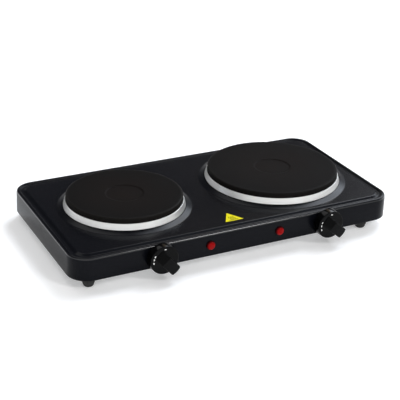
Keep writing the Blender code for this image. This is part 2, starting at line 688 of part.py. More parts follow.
def make_control(side, x):
    """One heat control: knob, shaft and cam, frame, nut, and the switch that the cam works."""
    place = facing_front(x, CONTROL_FACE, CONTROL_Z)
    make_knob(side, place)
    cam_front = -CAM_BEHIND_WALL
    cam_back = cam_front - CAM_THICK
    shaft_tip = KNOB_FRONT - KNOB_WALL - GAP
    shaft = turned(
        f"control_shaft_{side}",
        [(0, shaft_tip), (SHAFT_RADIUS, shaft_tip), (SHAFT_RADIUS, cam_back - 0.5 * CAM_THICK),
         (0, cam_back - 0.5 * CAM_THICK)],
        24, "zinc_steel", place)
    cam = prism(f"cam_{side}", cam_outline(), cam_back, cam_front, "zinc_steel", place)
    combine(shaft, cam, "UNION")

    inner = -SHEET - GAP
    back = inner - FRAME_SHEET
    shelf = -FRAME_DOWN + FRAME_SHEET
    outline = [(FRAME_UP, inner), (-FRAME_DOWN, inner), (-FRAME_DOWN, inner - SHELF_LENGTH)]
    outline += [(shelf, inner - SHELF_LENGTH), (shelf, back), (FRAME_UP, back)]
    half = FRAME_WIDTH / 2
    frame = prism(f"control_frame_{side}", outline, -half, half, "zinc_steel", place, axis="X")
    bore = SHAFT_RADIUS + RUNNING_FIT
    middle = (inner + back) / 2
    bush = turned(f"bush_{side}", [(0, middle), (bore + BUSH_WALL, middle),
                                   (bore + BUSH_WALL, BUSH_REACH), (0, BUSH_REACH)],
                  24, "zinc_steel", place)
    combine(frame, bush, "UNION")
    drill(frame, f"shaft_bore_{side}", [place], bore, back - FRAME_SHEET, BUSH_REACH + GAP, 24)
    perforated(f"control_nut_{side}", circle(CONTROL_NUT_RADIUS, 6),
               [circle(bore + BUSH_WALL + HOLE_GAP, 16)], GAP, GAP + CONTROL_NUT_HEIGHT,
               "zinc_steel", place)

    arm_top = -CAM_RADIUS - 1.2 * GAP
    arm_bottom = arm_top - ARM_SHEET
    arm_middle = (arm_top + arm_bottom) / 2
    arm_place = place @ Matrix.Translation((0, arm_middle, -ARM_PIVOT))
    arm_front = ARM_PIVOT + cam_front + GAP
    half_arm = ARM_SHEET / 2
    tail = ARM_SHEET * 3
    arm = [(-half_arm, arm_front), (-half_arm, -tail), (half_arm, -tail), (half_arm, arm_front)]
    prism(f"contact_arm_{side}", arm, -ARM_WIDTH / 2, ARM_WIDTH / 2, "brass", arm_place, axis="X")

    near = -STACK_BEHIND_WALL
    far = near - STACK_SIZE
    web = -ARM_PIVOT - 1.6 * tail
    floor = shelf + GAP
    slot_low = arm_middle - STACK_SLOT / 2
    slot_high = arm_middle + STACK_SLOT / 2
    stack_top = slot_high + STACK_SLOT
    outline = [(floor, near), (floor, far), (stack_top, far), (stack_top, near)]
    outline += [(slot_high, near), (slot_high, web), (slot_low, web), (slot_low, near)]
    half = STACK_SIZE / 2
    prism(f"contact_stack_{side}", outline, -half, half, "ceramic", place, axis="X")
    blade_low = stack_top + GAP
    blade = rectangle(blade_low, blade_low + BLADE_SHEET, far, far + BLADE_LENGTH)
    half = ARM_WIDTH / 2
    prism(f"bimetal_blade_{side}", blade, -half, half, "brass", place, axis="X")


def make_lamp(side, x):
    """A red lens pushed in from the front, its clip, and the lamp body behind the wall."""
    place = facing_front(x, LAMP_FACE, LAMP_Z)
    profile = []
    for k in range(4):
        angle = radians(90 - 30 * k)
        profile.append((LENS_RADIUS * cos(angle) if k else 0, GAP + LENS_RISE * sin(angle)))
    profile += [(LENS_SHANK, GAP), (LENS_SHANK, -LENS_DEPTH), (0, -LENS_DEPTH)]
    turned(f"lamp_lens_{side}", profile, 16, "red_lens", place)
    hole = LENS_SHANK + HOLE_GAP
    clip_front = -SHEET - GAP
    clip_back = clip_front - SHEET
    clip = [(hole, clip_front), (LENS_RADIUS, clip_front), (LENS_RADIUS, clip_back), (hole, clip_back)]
    turned(f"lamp_clip_{side}", clip, 16, "zinc_steel", place)
    front = clip_back - GAP
    bottom = -LENS_DEPTH - GAP
    end = front - LAMP_BODY_LENGTH
    body = [(0, bottom), (hole, bottom), (hole, front), (LAMP_BODY_RADIUS, front)]
    body += [(LAMP_BODY_RADIUS, end), (0, end)]
    turned(f"lamp_body_{side}", body, 16, "white_plastic", place)


def make_gland():
    """Cord gland in the rear wall: a flange on each side of the sheet and a bore for the cord."""
    inner = -SHEET - GAP
    outer_flange = GLAND_RADIUS
    inner_flange = GLAND_NECK + 3 * SHEET
    profile = [
        (GLAND_BORE, GLAND_REACH),
        (GLAND_NECK, GLAND_REACH),
        (outer_flange, GLAND_REACH / 2),
        (outer_flange, GAP),
        (GLAND_NECK, GAP),
        (GLAND_NECK, inner),
        (inner_flange, inner),
        (inner_flange, inner - 3 * SHEET),
        (GLAND_NECK, inner - GLAND_TAIL),
        (GLAND_BORE, inner - GLAND_TAIL),
    ]
    behind = on_body(GLAND_X, CONTROL_FACE, CONTROL_Z) @ Matrix.Rotation(-pi / 2, 4, "X")
    turned("cord_gland", profile, 16, "rubber", behind)


def make_mains_terminal():
    """Three-way terminal on the base plate, between the gland and the controls."""
    wide, deep, tall = MAINS_SIZE
    floor = BASE_TOP + GAP
    outline = [(wide / 2, floor), (wide / 2, floor + 0.6 * tall)]
    pole = wide / 3
    for k in range(3):
        right = wide / 2 - k * pole
        outline += [(right - 0.15 * pole, floor + 0.6 * tall), (right - 0.15 * pole, floor + tall)]
        outline += [(right - 0.85 * pole, floor + tall), (right - 0.85 * pole, floor + 0.6 * tall)]
    outline += [(-wide / 2, floor + 0.6 * tall), (-wide / 2, floor)]
    low = MAINS_Y - deep / 2
    prism("mains_terminal", outline, low, low + deep, "white_plastic", on_body(0, 0), axis="Y")


def smooth_route(points, steps):
    """Points of a smooth curve through the given ones (Catmull-Rom)."""
    padded = [2 * points[0] - points[1]] + points + [2 * points[-1] - points[-2]]
    route = []
    for a, b, c, d in zip(padded, padded[1:], padded[2:], padded[3:]):
        for k in range(steps):
            t = k / steps
            linear = (c - a) * t
            square = (2 * a - 5 * b + 4 * c - d) * t ** 2
            cube = (3 * b - a - 3 * c + d) * t ** 3
            route.append((2 * b + linear + square + cube) / 2)
    return route + [points[-1]]


def make_lead(name, points):
    """A covered wire that lies inside the body."""
    curve = bpy.data.curves.new(name, "CURVE")
    curve.dimensions = "3D"
    curve.bevel_depth = LEAD_RADIUS
    curve.bevel_resolution = 1
    curve.use_fill_caps = True
    route = smooth_route([Vector(point) for point in points], 4)
    spline = curve.splines.new("POLY")
    spline.points.add(len(route) - 1)
    for point, place in zip(spline.points, route):
        point.co = (*place, 1)
    curve.materials.append(material("lead_cover"))
    lead = bpy.data.objects.new(name, curve)
    lead.matrix_world = on_body(0, 0)
    bpy.context.collection.objects.link(lead)


def make_leads():
    """Leads from the mains terminal to each control and to each plate's terminal block."""
    wide, deep, _ = MAINS_SIZE
    clear = LEAD_RADIUS + GAP
    start_y = MAINS_Y - deep / 2 - GAP
    stack_y = -CONTROL_FACE + STACK_BEHIND_WALL + STACK_SIZE + GAP
    stack_z = CONTROL_Z - CAM_RADIUS
    block_z = COVER_TOP - COVER_SHEET - TERMINAL_SIZE[2] - 3 * GAP
    for side, sign in (("left", -1), ("right", 1)):
        x = CONTROLS[side]
        start_x = sign * wide / 3
        make_lead(f"lead_control_{side}", [
            (start_x, start_y, LEAD_HEIGHT + clear),
            (start_x, start_y / 2, LEAD_HEIGHT),
            (x / 3, stack_y / 2, LEAD_HEIGHT),
            (0.9 * x, 0.9 * stack_y, LEAD_HEIGHT),
            (x, stack_y + 5 * clear, stack_z),
            (x, stack_y + 2 * GAP, stack_z),
        ])
        x = PLATES[side][0]
        start_x = sign * (wide / 2 + GAP)
        make_lead(f"lead_element_{side}", [
            (start_x, MAINS_Y, LEAD_HEIGHT + clear),
            (0.45 * x, MAINS_Y, LEAD_HEIGHT),
            (0.85 * x, (MAINS_Y + TERMINAL_OFFSET) / 2, LEAD_HEIGHT + clear),
            (x, TERMINAL_OFFSET, block_z - 4 * clear),
            (x, TERMINAL_OFFSET, block_z),
        ])


def make_label():
    """Triangular heat label with rounded corners, stuck to the panel."""
    x0, y0 = LABEL_CENTRE
    reach = LABEL_SIDE / sqrt(3) - 2 * LABEL_CORNER
    outline = []
    for corner in (90, 210, 330):
        x = x0 + reach * cos(radians(corner))
        y = y0 + reach * sin(radians(corner))
        for turn in (-60, 0, 60):
            angle = radians(corner + turn)
            outline.append((x + LABEL_CORNER * cos(angle), y + LABEL_CORNER * sin(angle)))
    low = PANEL + GAP / 2
    prism("warning_label", outline, low, low + LABEL_SHEET, "yellow_label", on_body(0, 0))


def main():
    for old in list(bpy.data.objects):
        bpy.data.objects.remove(old, do_unlink=True)
    make_housing()
    make_base_plate()
    make_feet()
    for side, (x, radius) in PLATES.items():
        make_plate_assembly(side, x, radius)
    for side, x in CONTROLS.items():
        make_control(side, x)
    for side, x in LAMPS.items():
        make_lamp(side, x)
    make_gland()
    make_mains_terminal()
    screw("earth_screw", *EARTH_SPOT, BASE_TOP + GAP, BASE_SHEET + 8 * GAP, head_up=True)
    make_leads()
    make_label()


main()
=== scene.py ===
# %% [markdown]
# # A two-plate electric hot plate
#
# The appliance is a low tray of pressed steel in black enamel. It carries two cast-iron plates, each in a
# bright steel trim ring, and has two knobs and two red lamps on its front. This lesson takes the working
# model as a fixed frame, remodels what the eye rests on, and gives every piece a finish made of nodes.
#
# The frame comes first, because every new piece takes its place and size from it.

# %% Load the frame
import json
from math import atan2, cos, pi, radians, sin, sqrt, tan

import bmesh
import bpy
from mathutils import Matrix, Vector


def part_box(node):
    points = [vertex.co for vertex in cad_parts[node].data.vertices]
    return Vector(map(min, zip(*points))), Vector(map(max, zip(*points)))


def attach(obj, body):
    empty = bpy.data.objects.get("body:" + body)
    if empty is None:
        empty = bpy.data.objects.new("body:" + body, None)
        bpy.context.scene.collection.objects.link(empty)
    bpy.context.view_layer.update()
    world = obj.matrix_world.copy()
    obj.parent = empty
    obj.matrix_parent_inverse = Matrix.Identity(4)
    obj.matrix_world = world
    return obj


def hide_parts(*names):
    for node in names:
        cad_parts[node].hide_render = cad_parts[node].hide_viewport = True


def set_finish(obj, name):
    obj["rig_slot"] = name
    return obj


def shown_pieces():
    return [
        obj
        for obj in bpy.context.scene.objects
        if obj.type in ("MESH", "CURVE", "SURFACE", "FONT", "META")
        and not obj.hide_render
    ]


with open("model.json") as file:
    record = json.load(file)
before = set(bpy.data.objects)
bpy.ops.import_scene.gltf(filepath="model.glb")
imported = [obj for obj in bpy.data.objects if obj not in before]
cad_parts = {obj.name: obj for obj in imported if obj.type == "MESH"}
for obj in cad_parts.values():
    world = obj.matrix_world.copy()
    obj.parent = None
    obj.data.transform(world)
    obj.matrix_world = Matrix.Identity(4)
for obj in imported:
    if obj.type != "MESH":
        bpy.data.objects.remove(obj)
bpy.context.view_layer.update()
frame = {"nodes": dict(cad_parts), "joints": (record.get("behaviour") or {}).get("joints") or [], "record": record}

MM = 0.001

# %% [markdown]
# ## Places and sizes
#
# A node's box says where it is. The sheet's profile can't be read from a box, so its few radii and depths
# are named here, in the same millimetres that a toolmaker would use.

# %% Measure the frame


def node_box(node):
    """Lowest and highest corner of a node, as vectors."""
    low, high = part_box(node)
    return Vector(low), Vector(high)


def middle(node):
    """The centre of a node's box."""
    low, high = node_box(node)
    return (low + high) / 2


SIDES = ("left", "right")
LABEL_GAP = 0.15 * MM
housing_low, housing_high = node_box("housing")
body = (housing_low + housing_high) / 2
half_x = (housing_high.x - housing_low.x) / 2
half_y = (housing_high.y - housing_low.y) / 2
wall_foot = housing_low.z
panel = node_box("warning_label")[0].z - LABEL_GAP
boss_rise = housing_high.z - panel
print("body", round(2 * half_x / MM, 1), "x", round(2 * half_y / MM, 1), "panel at", round(panel / MM, 1))

knob_axis = {}
for joint in frame["joints"]:
    for side in SIDES:
        if joint["name"] == f"{side}_knob_turn":
            knob_axis[side] = Vector(joint["pos_m"])
print("knob axes", {side: tuple(round(v / MM, 1) for v in place) for side, place in knob_axis.items()})

# %% [markdown]
# ## Camera
#
# The camera stands at the front left, a little above the appliance, with a long lens, as a product
# photographer would place it. Azimuth, elevation and distance say it more plainly than coordinates.

# %% Place the camera
AZIMUTH = radians(-27.654)
ELEVATION = radians(25.397)
ROLL = radians(1.886)
DISTANCE = 1451.2 * MM
LENS = 95.96
aim = Vector((-16.6 * MM, body.y - 26.4 * MM, panel))
towards = Vector((sin(AZIMUTH) * cos(ELEVATION), -cos(AZIMUTH) * cos(ELEVATION), sin(ELEVATION)))
camera = bpy.data.objects.new("camera", bpy.data.cameras.new("camera"))
bpy.context.collection.objects.link(camera)
camera.data.lens = LENS
camera.data.clip_start = 0.01
camera.location = aim + DISTANCE * towards
turn = towards.to_track_quat("Z", "Y").to_matrix() @ Matrix.Rotation(ROLL, 3, "Z")
camera.rotation_euler = turn.to_euler()
bpy.context.scene.camera = camera
print("camera at", tuple(round(v, 3) for v in camera.location))

# %% [markdown]
# ## Modelling helpers
#
# An operator works on whatever is selected, so each step starts by selecting nothing. Then the parts of the
# mesh that a step needs are picked by their place, which stays true when a size changes.

# %% Selecting and finishing


def select_only(*pieces):
    """Leaves edit mode and selects these objects and nothing else."""
    if bpy.context.mode != "OBJECT":
        bpy.ops.object.mode_set(mode="OBJECT")
    bpy.ops.object.select_all(action="DESELECT")
    for piece in pieces:
        piece.select_set(True)
    if pieces:
        bpy.context.view_layer.objects.active = pieces[0]


def named(name):
    """Names the primitive that was just added and moves its place into its mesh."""
    piece = bpy.context.object
    piece.name = name
    piece.data.name = name
    bpy.ops.object.transform_apply(location=True, rotation=True, scale=True)
    return piece


def edit(piece):
    """Opens a piece for editing with none of its mesh selected."""
    select_only(piece)
    bpy.ops.object.mode_set(mode="EDIT")
    bpy.ops.mesh.select_mode(type="VERT")
    bpy.ops.mesh.select_all(action="DESELECT")


def pick(kind, test):
    """Selects the vertices, edges or faces that pass a test, and returns how many there are."""
    bpy.ops.mesh.select_mode(type=kind)
    bpy.ops.mesh.select_all(action="DESELECT")
    mesh = bmesh.from_edit_mesh(bpy.context.object.data)
    parts = {"VERT": mesh.verts, "EDGE": mesh.edges, "FACE": mesh.faces}[kind]
    found = [part for part in parts if test(part)]
    for part in found:
        part.select_set(True)
    mesh.select_flush_mode()
    bmesh.update_edit_mesh(bpy.context.object.data)
    return len(found)


def done(piece, smooth=35):
    """Leaves edit mode and shades a piece smooth up to an angle in degrees."""
    select_only(piece)
    bpy.ops.object.shade_smooth_by_angle(angle=radians(smooth))
    return piece


def apply_modifier(piece, kind, **settings):
    """Adds a modifier with its settings and applies it."""
    select_only(piece)
    modifier = piece.modifiers.new(kind.lower(), kind)
    for key, value in settings.items():
        setattr(modifier, key, value)
    bpy.ops.object.modifier_apply(modifier=modifier.name)


def cut(piece, tool, operation="DIFFERENCE"):
    """Cuts a tool away from a piece, or joins it on, and throws the tool away."""
    apply_modifier(piece, "BOOLEAN", object=tool, operation=operation, solver="EXACT")
    bpy.data.objects.remove(tool, do_unlink=True)


def put(piece, matrix):
    """Moves a finished mesh to its place, leaving its object at the origin."""
    piece.matrix_world = matrix
    select_only(piece)
    bpy.ops.object.transform_apply(location=True, rotation=True, scale=True)


def copy_of(piece, name, matrix):
    """A copy with its own mesh, moved to its place."""
    twin = piece.copy()
    twin.data = piece.data.copy()
    twin.name = name
    twin.data.name = name
    bpy.context.collection.objects.link(twin)
    put(twin, matrix)
    return twin


# %% [markdown]
# Most sections are a few straight runs with rounded corners. `rounded_path` takes the corners, each with its
# radius, and returns the points of the finished line.

# %% Rounded sections


def rounded_path(corners, steps=6):
    """Points of a line through (across, up) or (across, up, radius) corners, with arcs for radii."""
    path = [Vector(corners[0][:2])]
    for before, corner, after in zip(corners, corners[1:], corners[2:]):
        here = Vector(corner[:2])
        radius = corner[2] if len(corner) > 2 else 0
        if not radius:
            path.append(here)
            continue
        back = (Vector(before[:2]) - here).normalized()
        ahead = (Vector(after[:2]) - here).normalized()
        half = back.angle(ahead) / 2
        centre = here + (back + ahead).normalized() * radius / sin(half)
        first = here + back * radius / tan(half) - centre
        last = here + ahead * radius / tan(half) - centre
        sweep = atan2(first.x * last.y - first.y * last.x, first.dot(last))
        for k in range(steps + 1):
            path.append(centre + Matrix.Rotation(sweep * k / steps, 2) @ first)
    path.append(Vector(corners[-1][:2]))
    return path


def turned(name, path, matrix=None, steps=96, closed=True, smooth=35):
    """Draws a half section (radius, height) point by point and spins it round the Z axis."""
    select_only()
    points = [Vector((point.x, 0, point.y)) for point in path]
    bpy.ops.mesh.primitive_plane_add(size=MM, location=points[0])
    piece = named(name)
    edit(piece)
    bpy.ops.mesh.select_all(action="SELECT")
    bpy.ops.mesh.merge(type="CENTER")
    for start, end in zip(points, points[1:]):
        bpy.ops.mesh.extrude_vertices_move(TRANSFORM_OT_translate={"value": end - start})
    bpy.ops.mesh.select_all(action="SELECT")
    if closed:
        ends = (points[0], points[-1])
        pick("VERT", lambda v: any((v.co - end).length < 1e-7 for end in ends))
        bpy.ops.mesh.edge_face_add()
        bpy.ops.mesh.select_all(action="SELECT")
    bpy.ops.mesh.spin(steps=steps, angle=2 * pi, center=(0, 0, 0), axis=(0, 0, 1))
    bpy.ops.mesh.select_all(action="SELECT")
    bpy.ops.mesh.remove_doubles(threshold=1e-6)
    bpy.ops.mesh.normals_make_consistent(inside=False)
    done(piece, smooth)
    if matrix is not None:
        put(piece, matrix)
    return piece


def on_front(place):
    """Turns a piece made upright so that its top faces the front, at a place on the front wall."""
    return Matrix.Translation(place) @ Matrix.Rotation(pi / 2, 4, "X")


# %% [markdown]
# ## The pressed body
#
# The real body is one sheet, drawn in a press. Its wall leans out a little so that it leaves the tool, a bead
# stiffens the rim, and a gutter inside the bead holds spills. Insetting one face again and again follows
# that section exactly, keeps every corner parallel, and takes the section from one short list.

# %% Draw the tray
CORNER_RADIUS = 27.7 * MM
WALL_DRAFT = 0.7 * MM
CURL_RADIUS = 1.5 * MM
RIM_RADIUS = 3 * MM
BEAD_WIDTH = 4.4 * MM
GUTTER_START = 5.6 * MM
GUTTER_END = 9.4 * MM
GUTTER_DEPTH = 2.2 * MM
PANEL_START = 13.2 * MM
PANEL_BORDER = 14.2 * MM
SHEET = 0.8 * MM
FLANGE_WIDTH = 18 * MM
CORNER_STEPS = 14

select_only()
bpy.ops.mesh.primitive_plane_add(size=2, location=(body.x, body.y, wall_foot + CURL_RADIUS))
bpy.context.object.scale = (half_x, half_y, 1)
tray = named("enamelled_body")
edit(tray)
bpy.ops.mesh.select_all(action="SELECT")
bpy.ops.mesh.bevel(affect="VERTICES", offset=CORNER_RADIUS, segments=CORNER_STEPS)
wall_height = panel - wall_foot - CURL_RADIUS
section = rounded_path([
    (0, 0),
    (WALL_DRAFT, wall_height, RIM_RADIUS),
    (WALL_DRAFT + BEAD_WIDTH, wall_height, 1.3 * MM),
    (WALL_DRAFT + GUTTER_START, wall_height - GUTTER_DEPTH, 1.2 * MM),
    (WALL_DRAFT + GUTTER_END, wall_height - GUTTER_DEPTH, 2 * MM),
    (WALL_DRAFT + PANEL_START, wall_height, 2.5 * MM),
    (WALL_DRAFT + PANEL_BORDER, wall_height),
])
pick("FACE", lambda face: True)
for start, end in zip(section, section[1:]):
    step = end - start
    bpy.ops.mesh.inset(thickness=step.x, depth=step.y, use_even_offset=True)
bpy.ops.mesh.delete(type="ONLY_FACE")
print("section points", len(section))

# %% [markdown]
# The foot of the wall curls under into a flange, which the base plate is screwed to. Here the open edge is
# extruded and drawn in, a little at a time.

# %% Curl the foot of the wall
pick("EDGE", lambda edge: edge.is_boundary and edge.verts[0].co.z < panel - RIM_RADIUS)
CURL_STEPS = 5
reach = 0
drop = 0
curl = []
for k in range(1, CURL_STEPS + 1):
    bend = radians(90 * k / CURL_STEPS)
    curl.append((CURL_RADIUS * (1 - cos(bend)), CURL_RADIUS * sin(bend)))
for inset, down in curl + [(FLANGE_WIDTH, CURL_RADIUS)]:
    bpy.ops.mesh.extrude_edges_move(TRANSFORM_OT_translate={"value": (0, 0, drop - down)})
    share_x = (half_x - inset) / (half_x - reach)
    share_y = (half_y - inset) / (half_y - reach)
    bpy.ops.transform.resize(value=(share_x, share_y, 1), center_override=body)
    reach = inset
    drop = down

# %% [markdown]
# Each plate sits on an embossed ring, which starts from a circle in the panel. The panel is filled up to the
# circle, and the circle is then drawn inwards and upwards along the ring's section.

# %% Raise the embossed rings
BOSS_FOOT = 12 * MM
BOSS_MARGIN = 1.6 * MM
BOSS_TOP = 4.1 * MM
SEAT = 4 * MM
ON_PANEL = 0.01 * MM
plates = {}
for side in SIDES:
    low, high = node_box(f"hotplate_{side}")
    plates[side] = (Vector(((low.x + high.x) / 2, (low.y + high.y) / 2, 0)), (high.x - low.x) / 2)
    print(side, "plate", round(2 * plates[side][1] / MM, 1), "across")


def on_circle(part, centre, radius):
    """Whether an edge of the panel lies on a circle round a plate's centre."""
    for vert in part.verts:
        across = (vert.co - centre).to_2d().length
        if abs(across - radius) > 0.02 * MM or abs(vert.co.z - panel) > ON_PANEL:
            return False
    return True


ring_foot = BOSS_FOOT + BOSS_MARGIN
for centre, radius in plates.values():
    bpy.ops.mesh.primitive_circle_add(
        vertices=144, radius=radius + ring_foot, location=(centre.x, centre.y, panel)
    )
pick("EDGE", lambda edge: len(edge.link_faces) < 2 and abs(edge.verts[0].co.z - panel) < ON_PANEL)
bpy.ops.mesh.fill(use_beauty=True)
for centre, radius in plates.values():
    count = pick("EDGE", lambda edge: on_circle(edge, centre, radius + ring_foot))
    slope = rounded_path([
        (radius + ring_foot, 0),
        (radius + BOSS_FOOT, 0, 7 * MM),
        (radius + BOSS_TOP, boss_rise, 5 * MM),
        (radius - SEAT, boss_rise),
    ])
    for start, end in zip(slope, slope[1:]):
        bpy.ops.mesh.extrude_edges_move(TRANSFORM_OT_translate={"value": (0, 0, end.y - start.y)})
        share = end.x / start.x
        bpy.ops.transform.resize(
            value=(share, share, 1), center_override=(centre.x, centre.y, panel)
        )
    print("ring drawn from", count, "edges")

# %% [markdown]
# The sheet gets its thickness on the inside, so the outside stays at its size. The holes for the two
# spindles, the two lamps, the cord and the screws are cut last, as they are punched last in the factory.

# %% Give it thickness and punch it
bpy.ops.mesh.select_all(action="SELECT")
bpy.ops.mesh.normals_make_consistent(inside=False)
select_only(tray)
top_face = max(tray.data.polygons, key=lambda face: face.center.z * face.area)
if top_face.normal.z < 0:
    tray.data.flip_normals()
apply_modifier(tray, "SOLIDIFY", thickness=SHEET, offset=-1, use_even_offset=True)


def punch(piece, place, radius, depth, upright):
    """A round hole through a sheet, along Z or along Y."""
    select_only()
    rotation = (0, 0, 0) if upright else (pi / 2, 0, 0)
    bpy.ops.mesh.primitive_cylinder_add(
        vertices=48, radius=radius, depth=depth, location=place, rotation=rotation
    )
    cut(piece, named("punch"))


HOLE_GAP = 0.35 * MM
BUSH_RADIUS = 4.65 * MM
LAMP_SHANK = 4.2 * MM
GLAND_NECK = 6.5 * MM
SCREW_RADIUS = 1.75 * MM
for side in SIDES:
    punch(tray, knob_axis[side], BUSH_RADIUS + HOLE_GAP, 8 * SHEET, False)
    lamp = middle(f"lamp_lens_{side}")
    punch(tray, (lamp.x, housing_low.y, lamp.z), LAMP_SHANK + HOLE_GAP, 8 * SHEET, False)
gland = middle("cord_gland")
punch(tray, (gland.x, housing_high.y, gland.z), GLAND_NECK + HOLE_GAP, 8 * SHEET, False)
corners = [f"{end}_{side}" for end in ("front", "rear") for side in SIDES]
for corner in corners:
    foot = middle(f"foot_{corner}")
    punch(tray, (foot.x, foot.y, wall_foot), SCREW_RADIUS + HOLE_GAP, 4 * SHEET, True)
done(tray, 30)
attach(tray, "base")
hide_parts("housing")
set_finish(tray, "black_enamel")
print("body faces", len(tray.data.polygons))

# %% [markdown]
# ## Cast-iron plates
#
# A plate is cast, then faced on a lathe. Its top has a shallow dish in the middle, so that it stays flat when
# it is hot, and its rim is rounded so that a pan slides on. A turned section gives all of that at once.

# %% Turn the plates
PLATE_ROUND = 2.2 * MM
DISH_RADIUS = 25 * MM
DISH_DEPTH = 0.9 * MM
PLATE_THICKNESS = 8 * MM
SKIRT_WALL = 4.4 * MM
HUB_RADIUS = 12 * MM
STUD_HOLE = 3.2 * MM
STUD_DEPTH = 11 * MM
RING_SHEET = 0.7 * MM
GAP = 0.3 * MM
for side, (centre, radius) in plates.items():
    low, high = node_box(f"hotplate_{side}")
    shoulder = panel + boss_rise + RING_SHEET + 2 * GAP
    skirt = radius - SEAT - 2 * GAP
    ceiling = high.z - PLATE_THICKNESS
    plate_path = rounded_path([
        (0, low.z + STUD_DEPTH),
        (STUD_HOLE, low.z + STUD_DEPTH),
        (STUD_HOLE, low.z),
        (HUB_RADIUS, low.z, 0.8 * MM),
        (HUB_RADIUS, ceiling, 1.5 * MM),
        (skirt - SKIRT_WALL, ceiling, 1.5 * MM),
        (skirt - SKIRT_WALL, low.z, 0.6 * MM),
        (skirt, low.z, 0.6 * MM),
        (skirt, shoulder, 0.3 * MM),
        (radius, shoulder, 0.4 * MM),
        (radius, high.z, PLATE_ROUND),
        (radius - 5 * MM, high.z),
        (DISH_RADIUS + 1.4 * MM, high.z, 1.2 * MM),
        (DISH_RADIUS - 0.6 * MM, high.z - DISH_DEPTH, 1.2 * MM),
        (DISH_RADIUS - 4 * MM, high.z - DISH_DEPTH),
        (0, high.z - DISH_DEPTH),
    ])
    plate = turned(
        f"iron_plate_{side}", plate_path, Matrix.Translation(centre), 128, closed=False
    )
    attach(plate, "base")
    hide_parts(f"hotplate_{side}")
    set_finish(plate, "cast_iron")
    print(plate.name, len(plate.data.polygons), "faces")

# %% [markdown]
# ## Trim rings
#
# Each ring is spun from thin stainless sheet. It stands round the plate's rim, flares out as it comes down,
# and turns in at its foot, where the plate clamps it to the embossed ring.

# %% Turn the trim rings
FLARE = 2.6 * MM
for side, (centre, radius) in plates.items():
    low, high = node_box(f"trim_ring_{side}")
    lip = radius + GAP
    foot = lip + RING_SHEET + FLARE
    ring_path = rounded_path([
        (radius - SEAT, low.z + RING_SHEET),
        (radius - SEAT, low.z),
        (foot, low.z, 0.3 * MM),
        (foot - 0.5 * FLARE, low.z + 0.42 * (high.z - low.z), 12 * MM),
        (lip + RING_SHEET, high.z, 0.3 * MM),
        (lip, high.z, 0.2 * MM),
        (foot - 1.4 * RING_SHEET, low.z + RING_SHEET, 0.3 * MM),
        (radius - SEAT, low.z + RING_SHEET),
    ])
    ring = turned(f"steel_ring_{side}", ring_path[1:], Matrix.Translation(centre), 160)
    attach(ring, "base")
    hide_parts(f"trim_ring_{side}")
    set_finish(ring, "stainless")
    print(ring.name, len(ring.data.polygons), "faces")

# %% [markdown]
# ## Heat knobs
#
# A knob is a hollow moulding: a round skirt, and a thick bar across its face to grip. The bar is flat in
# front and slopes down at one end, which shows the setting. The skirt is turned. The bar is a round block
# that is cut to shape in edit mode and eased along its edges, and the two are joined.

# %% Make one knob
KNOB_RADIUS = 20 * MM
KNOB_TAPER = 0.8 * MM
KNOB_BACK = 3 * MM
KNOB_FACE = 14 * MM
KNOB_WALL = 2 * MM
SOCKET_BACK = 5.5 * MM
GRIP_FRONT = 23.5 * MM
GRIP_WIDTH = 14.6 * MM
GRIP_LOW = 14.6 * MM
GRIP_TIP = 12.8 * MM
GRIP_EDGE = 1.1 * MM
SLOPE_START = -3 * MM
GRIP_ANGLE = {"left": radians(-48), "right": radians(-40)}
BORE = 3.25 * MM


def make_knob(name):
    """A knob upright on the origin, its grip along X with the flat end at +X."""
    face = KNOB_RADIUS - KNOB_TAPER
    knob = turned(name, rounded_path([
        (0, KNOB_FACE - KNOB_WALL),
        (BORE, KNOB_FACE - KNOB_WALL),
        (BORE, SOCKET_BACK),
        (BORE + KNOB_WALL, SOCKET_BACK, 0.3 * MM),
        (BORE + KNOB_WALL, KNOB_FACE - KNOB_WALL),
        (face - KNOB_WALL, KNOB_FACE - KNOB_WALL),
        (KNOB_RADIUS - KNOB_WALL, KNOB_BACK, 0.4 * MM),
        (KNOB_RADIUS, KNOB_BACK, 0.6 * MM),
        (face, KNOB_FACE, 1.1 * MM),
        (face - 4 * MM, KNOB_FACE),
        (0, KNOB_FACE),
    ]), steps=96, closed=False)
    select_only()
    depth = GRIP_FRONT - KNOB_FACE + 0.9 * KNOB_WALL
    bpy.ops.mesh.primitive_cylinder_add(
        vertices=96, radius=face - 0.02 * MM, depth=depth, location=(0, 0, GRIP_FRONT - depth / 2)
    )
    bar = named("grip")
    edit(bar)
    half = GRIP_WIDTH / 2
    for sign in (1, -1):
        bpy.ops.mesh.select_all(action="SELECT")
        bpy.ops.mesh.bisect(
            plane_co=(0, sign * half, 0), plane_no=(0, sign, 0), clear_outer=True, use_fill=True
        )
    bpy.ops.mesh.select_all(action="SELECT")
    bpy.ops.mesh.bisect(
        plane_co=(-GRIP_TIP, 0, 0), plane_no=(-1, 0, 0), clear_outer=True, use_fill=True
    )
    bpy.ops.mesh.select_all(action="SELECT")
    fall = (GRIP_FRONT - GRIP_LOW) / (SLOPE_START + GRIP_TIP)
    bpy.ops.mesh.bisect(
        plane_co=(SLOPE_START, 0, GRIP_FRONT), plane_no=(-fall, 0, 1), clear_outer=True, use_fill=True
    )
    select_only(bar)
    apply_modifier(
        bar, "BEVEL", width=GRIP_EDGE, segments=4, limit_method="ANGLE", angle_limit=radians(32)
    )
    cut(knob, bar, "UNION")
    return done(knob, 32)


knob = make_knob("knob_pattern")
print("knob faces", len(knob.data.polygons))

# %% [markdown]
# The marks on the face are printed in white: one for off at the top, and one for each heat. They are thin
# separate pieces that ride with the knob, so they turn with it.

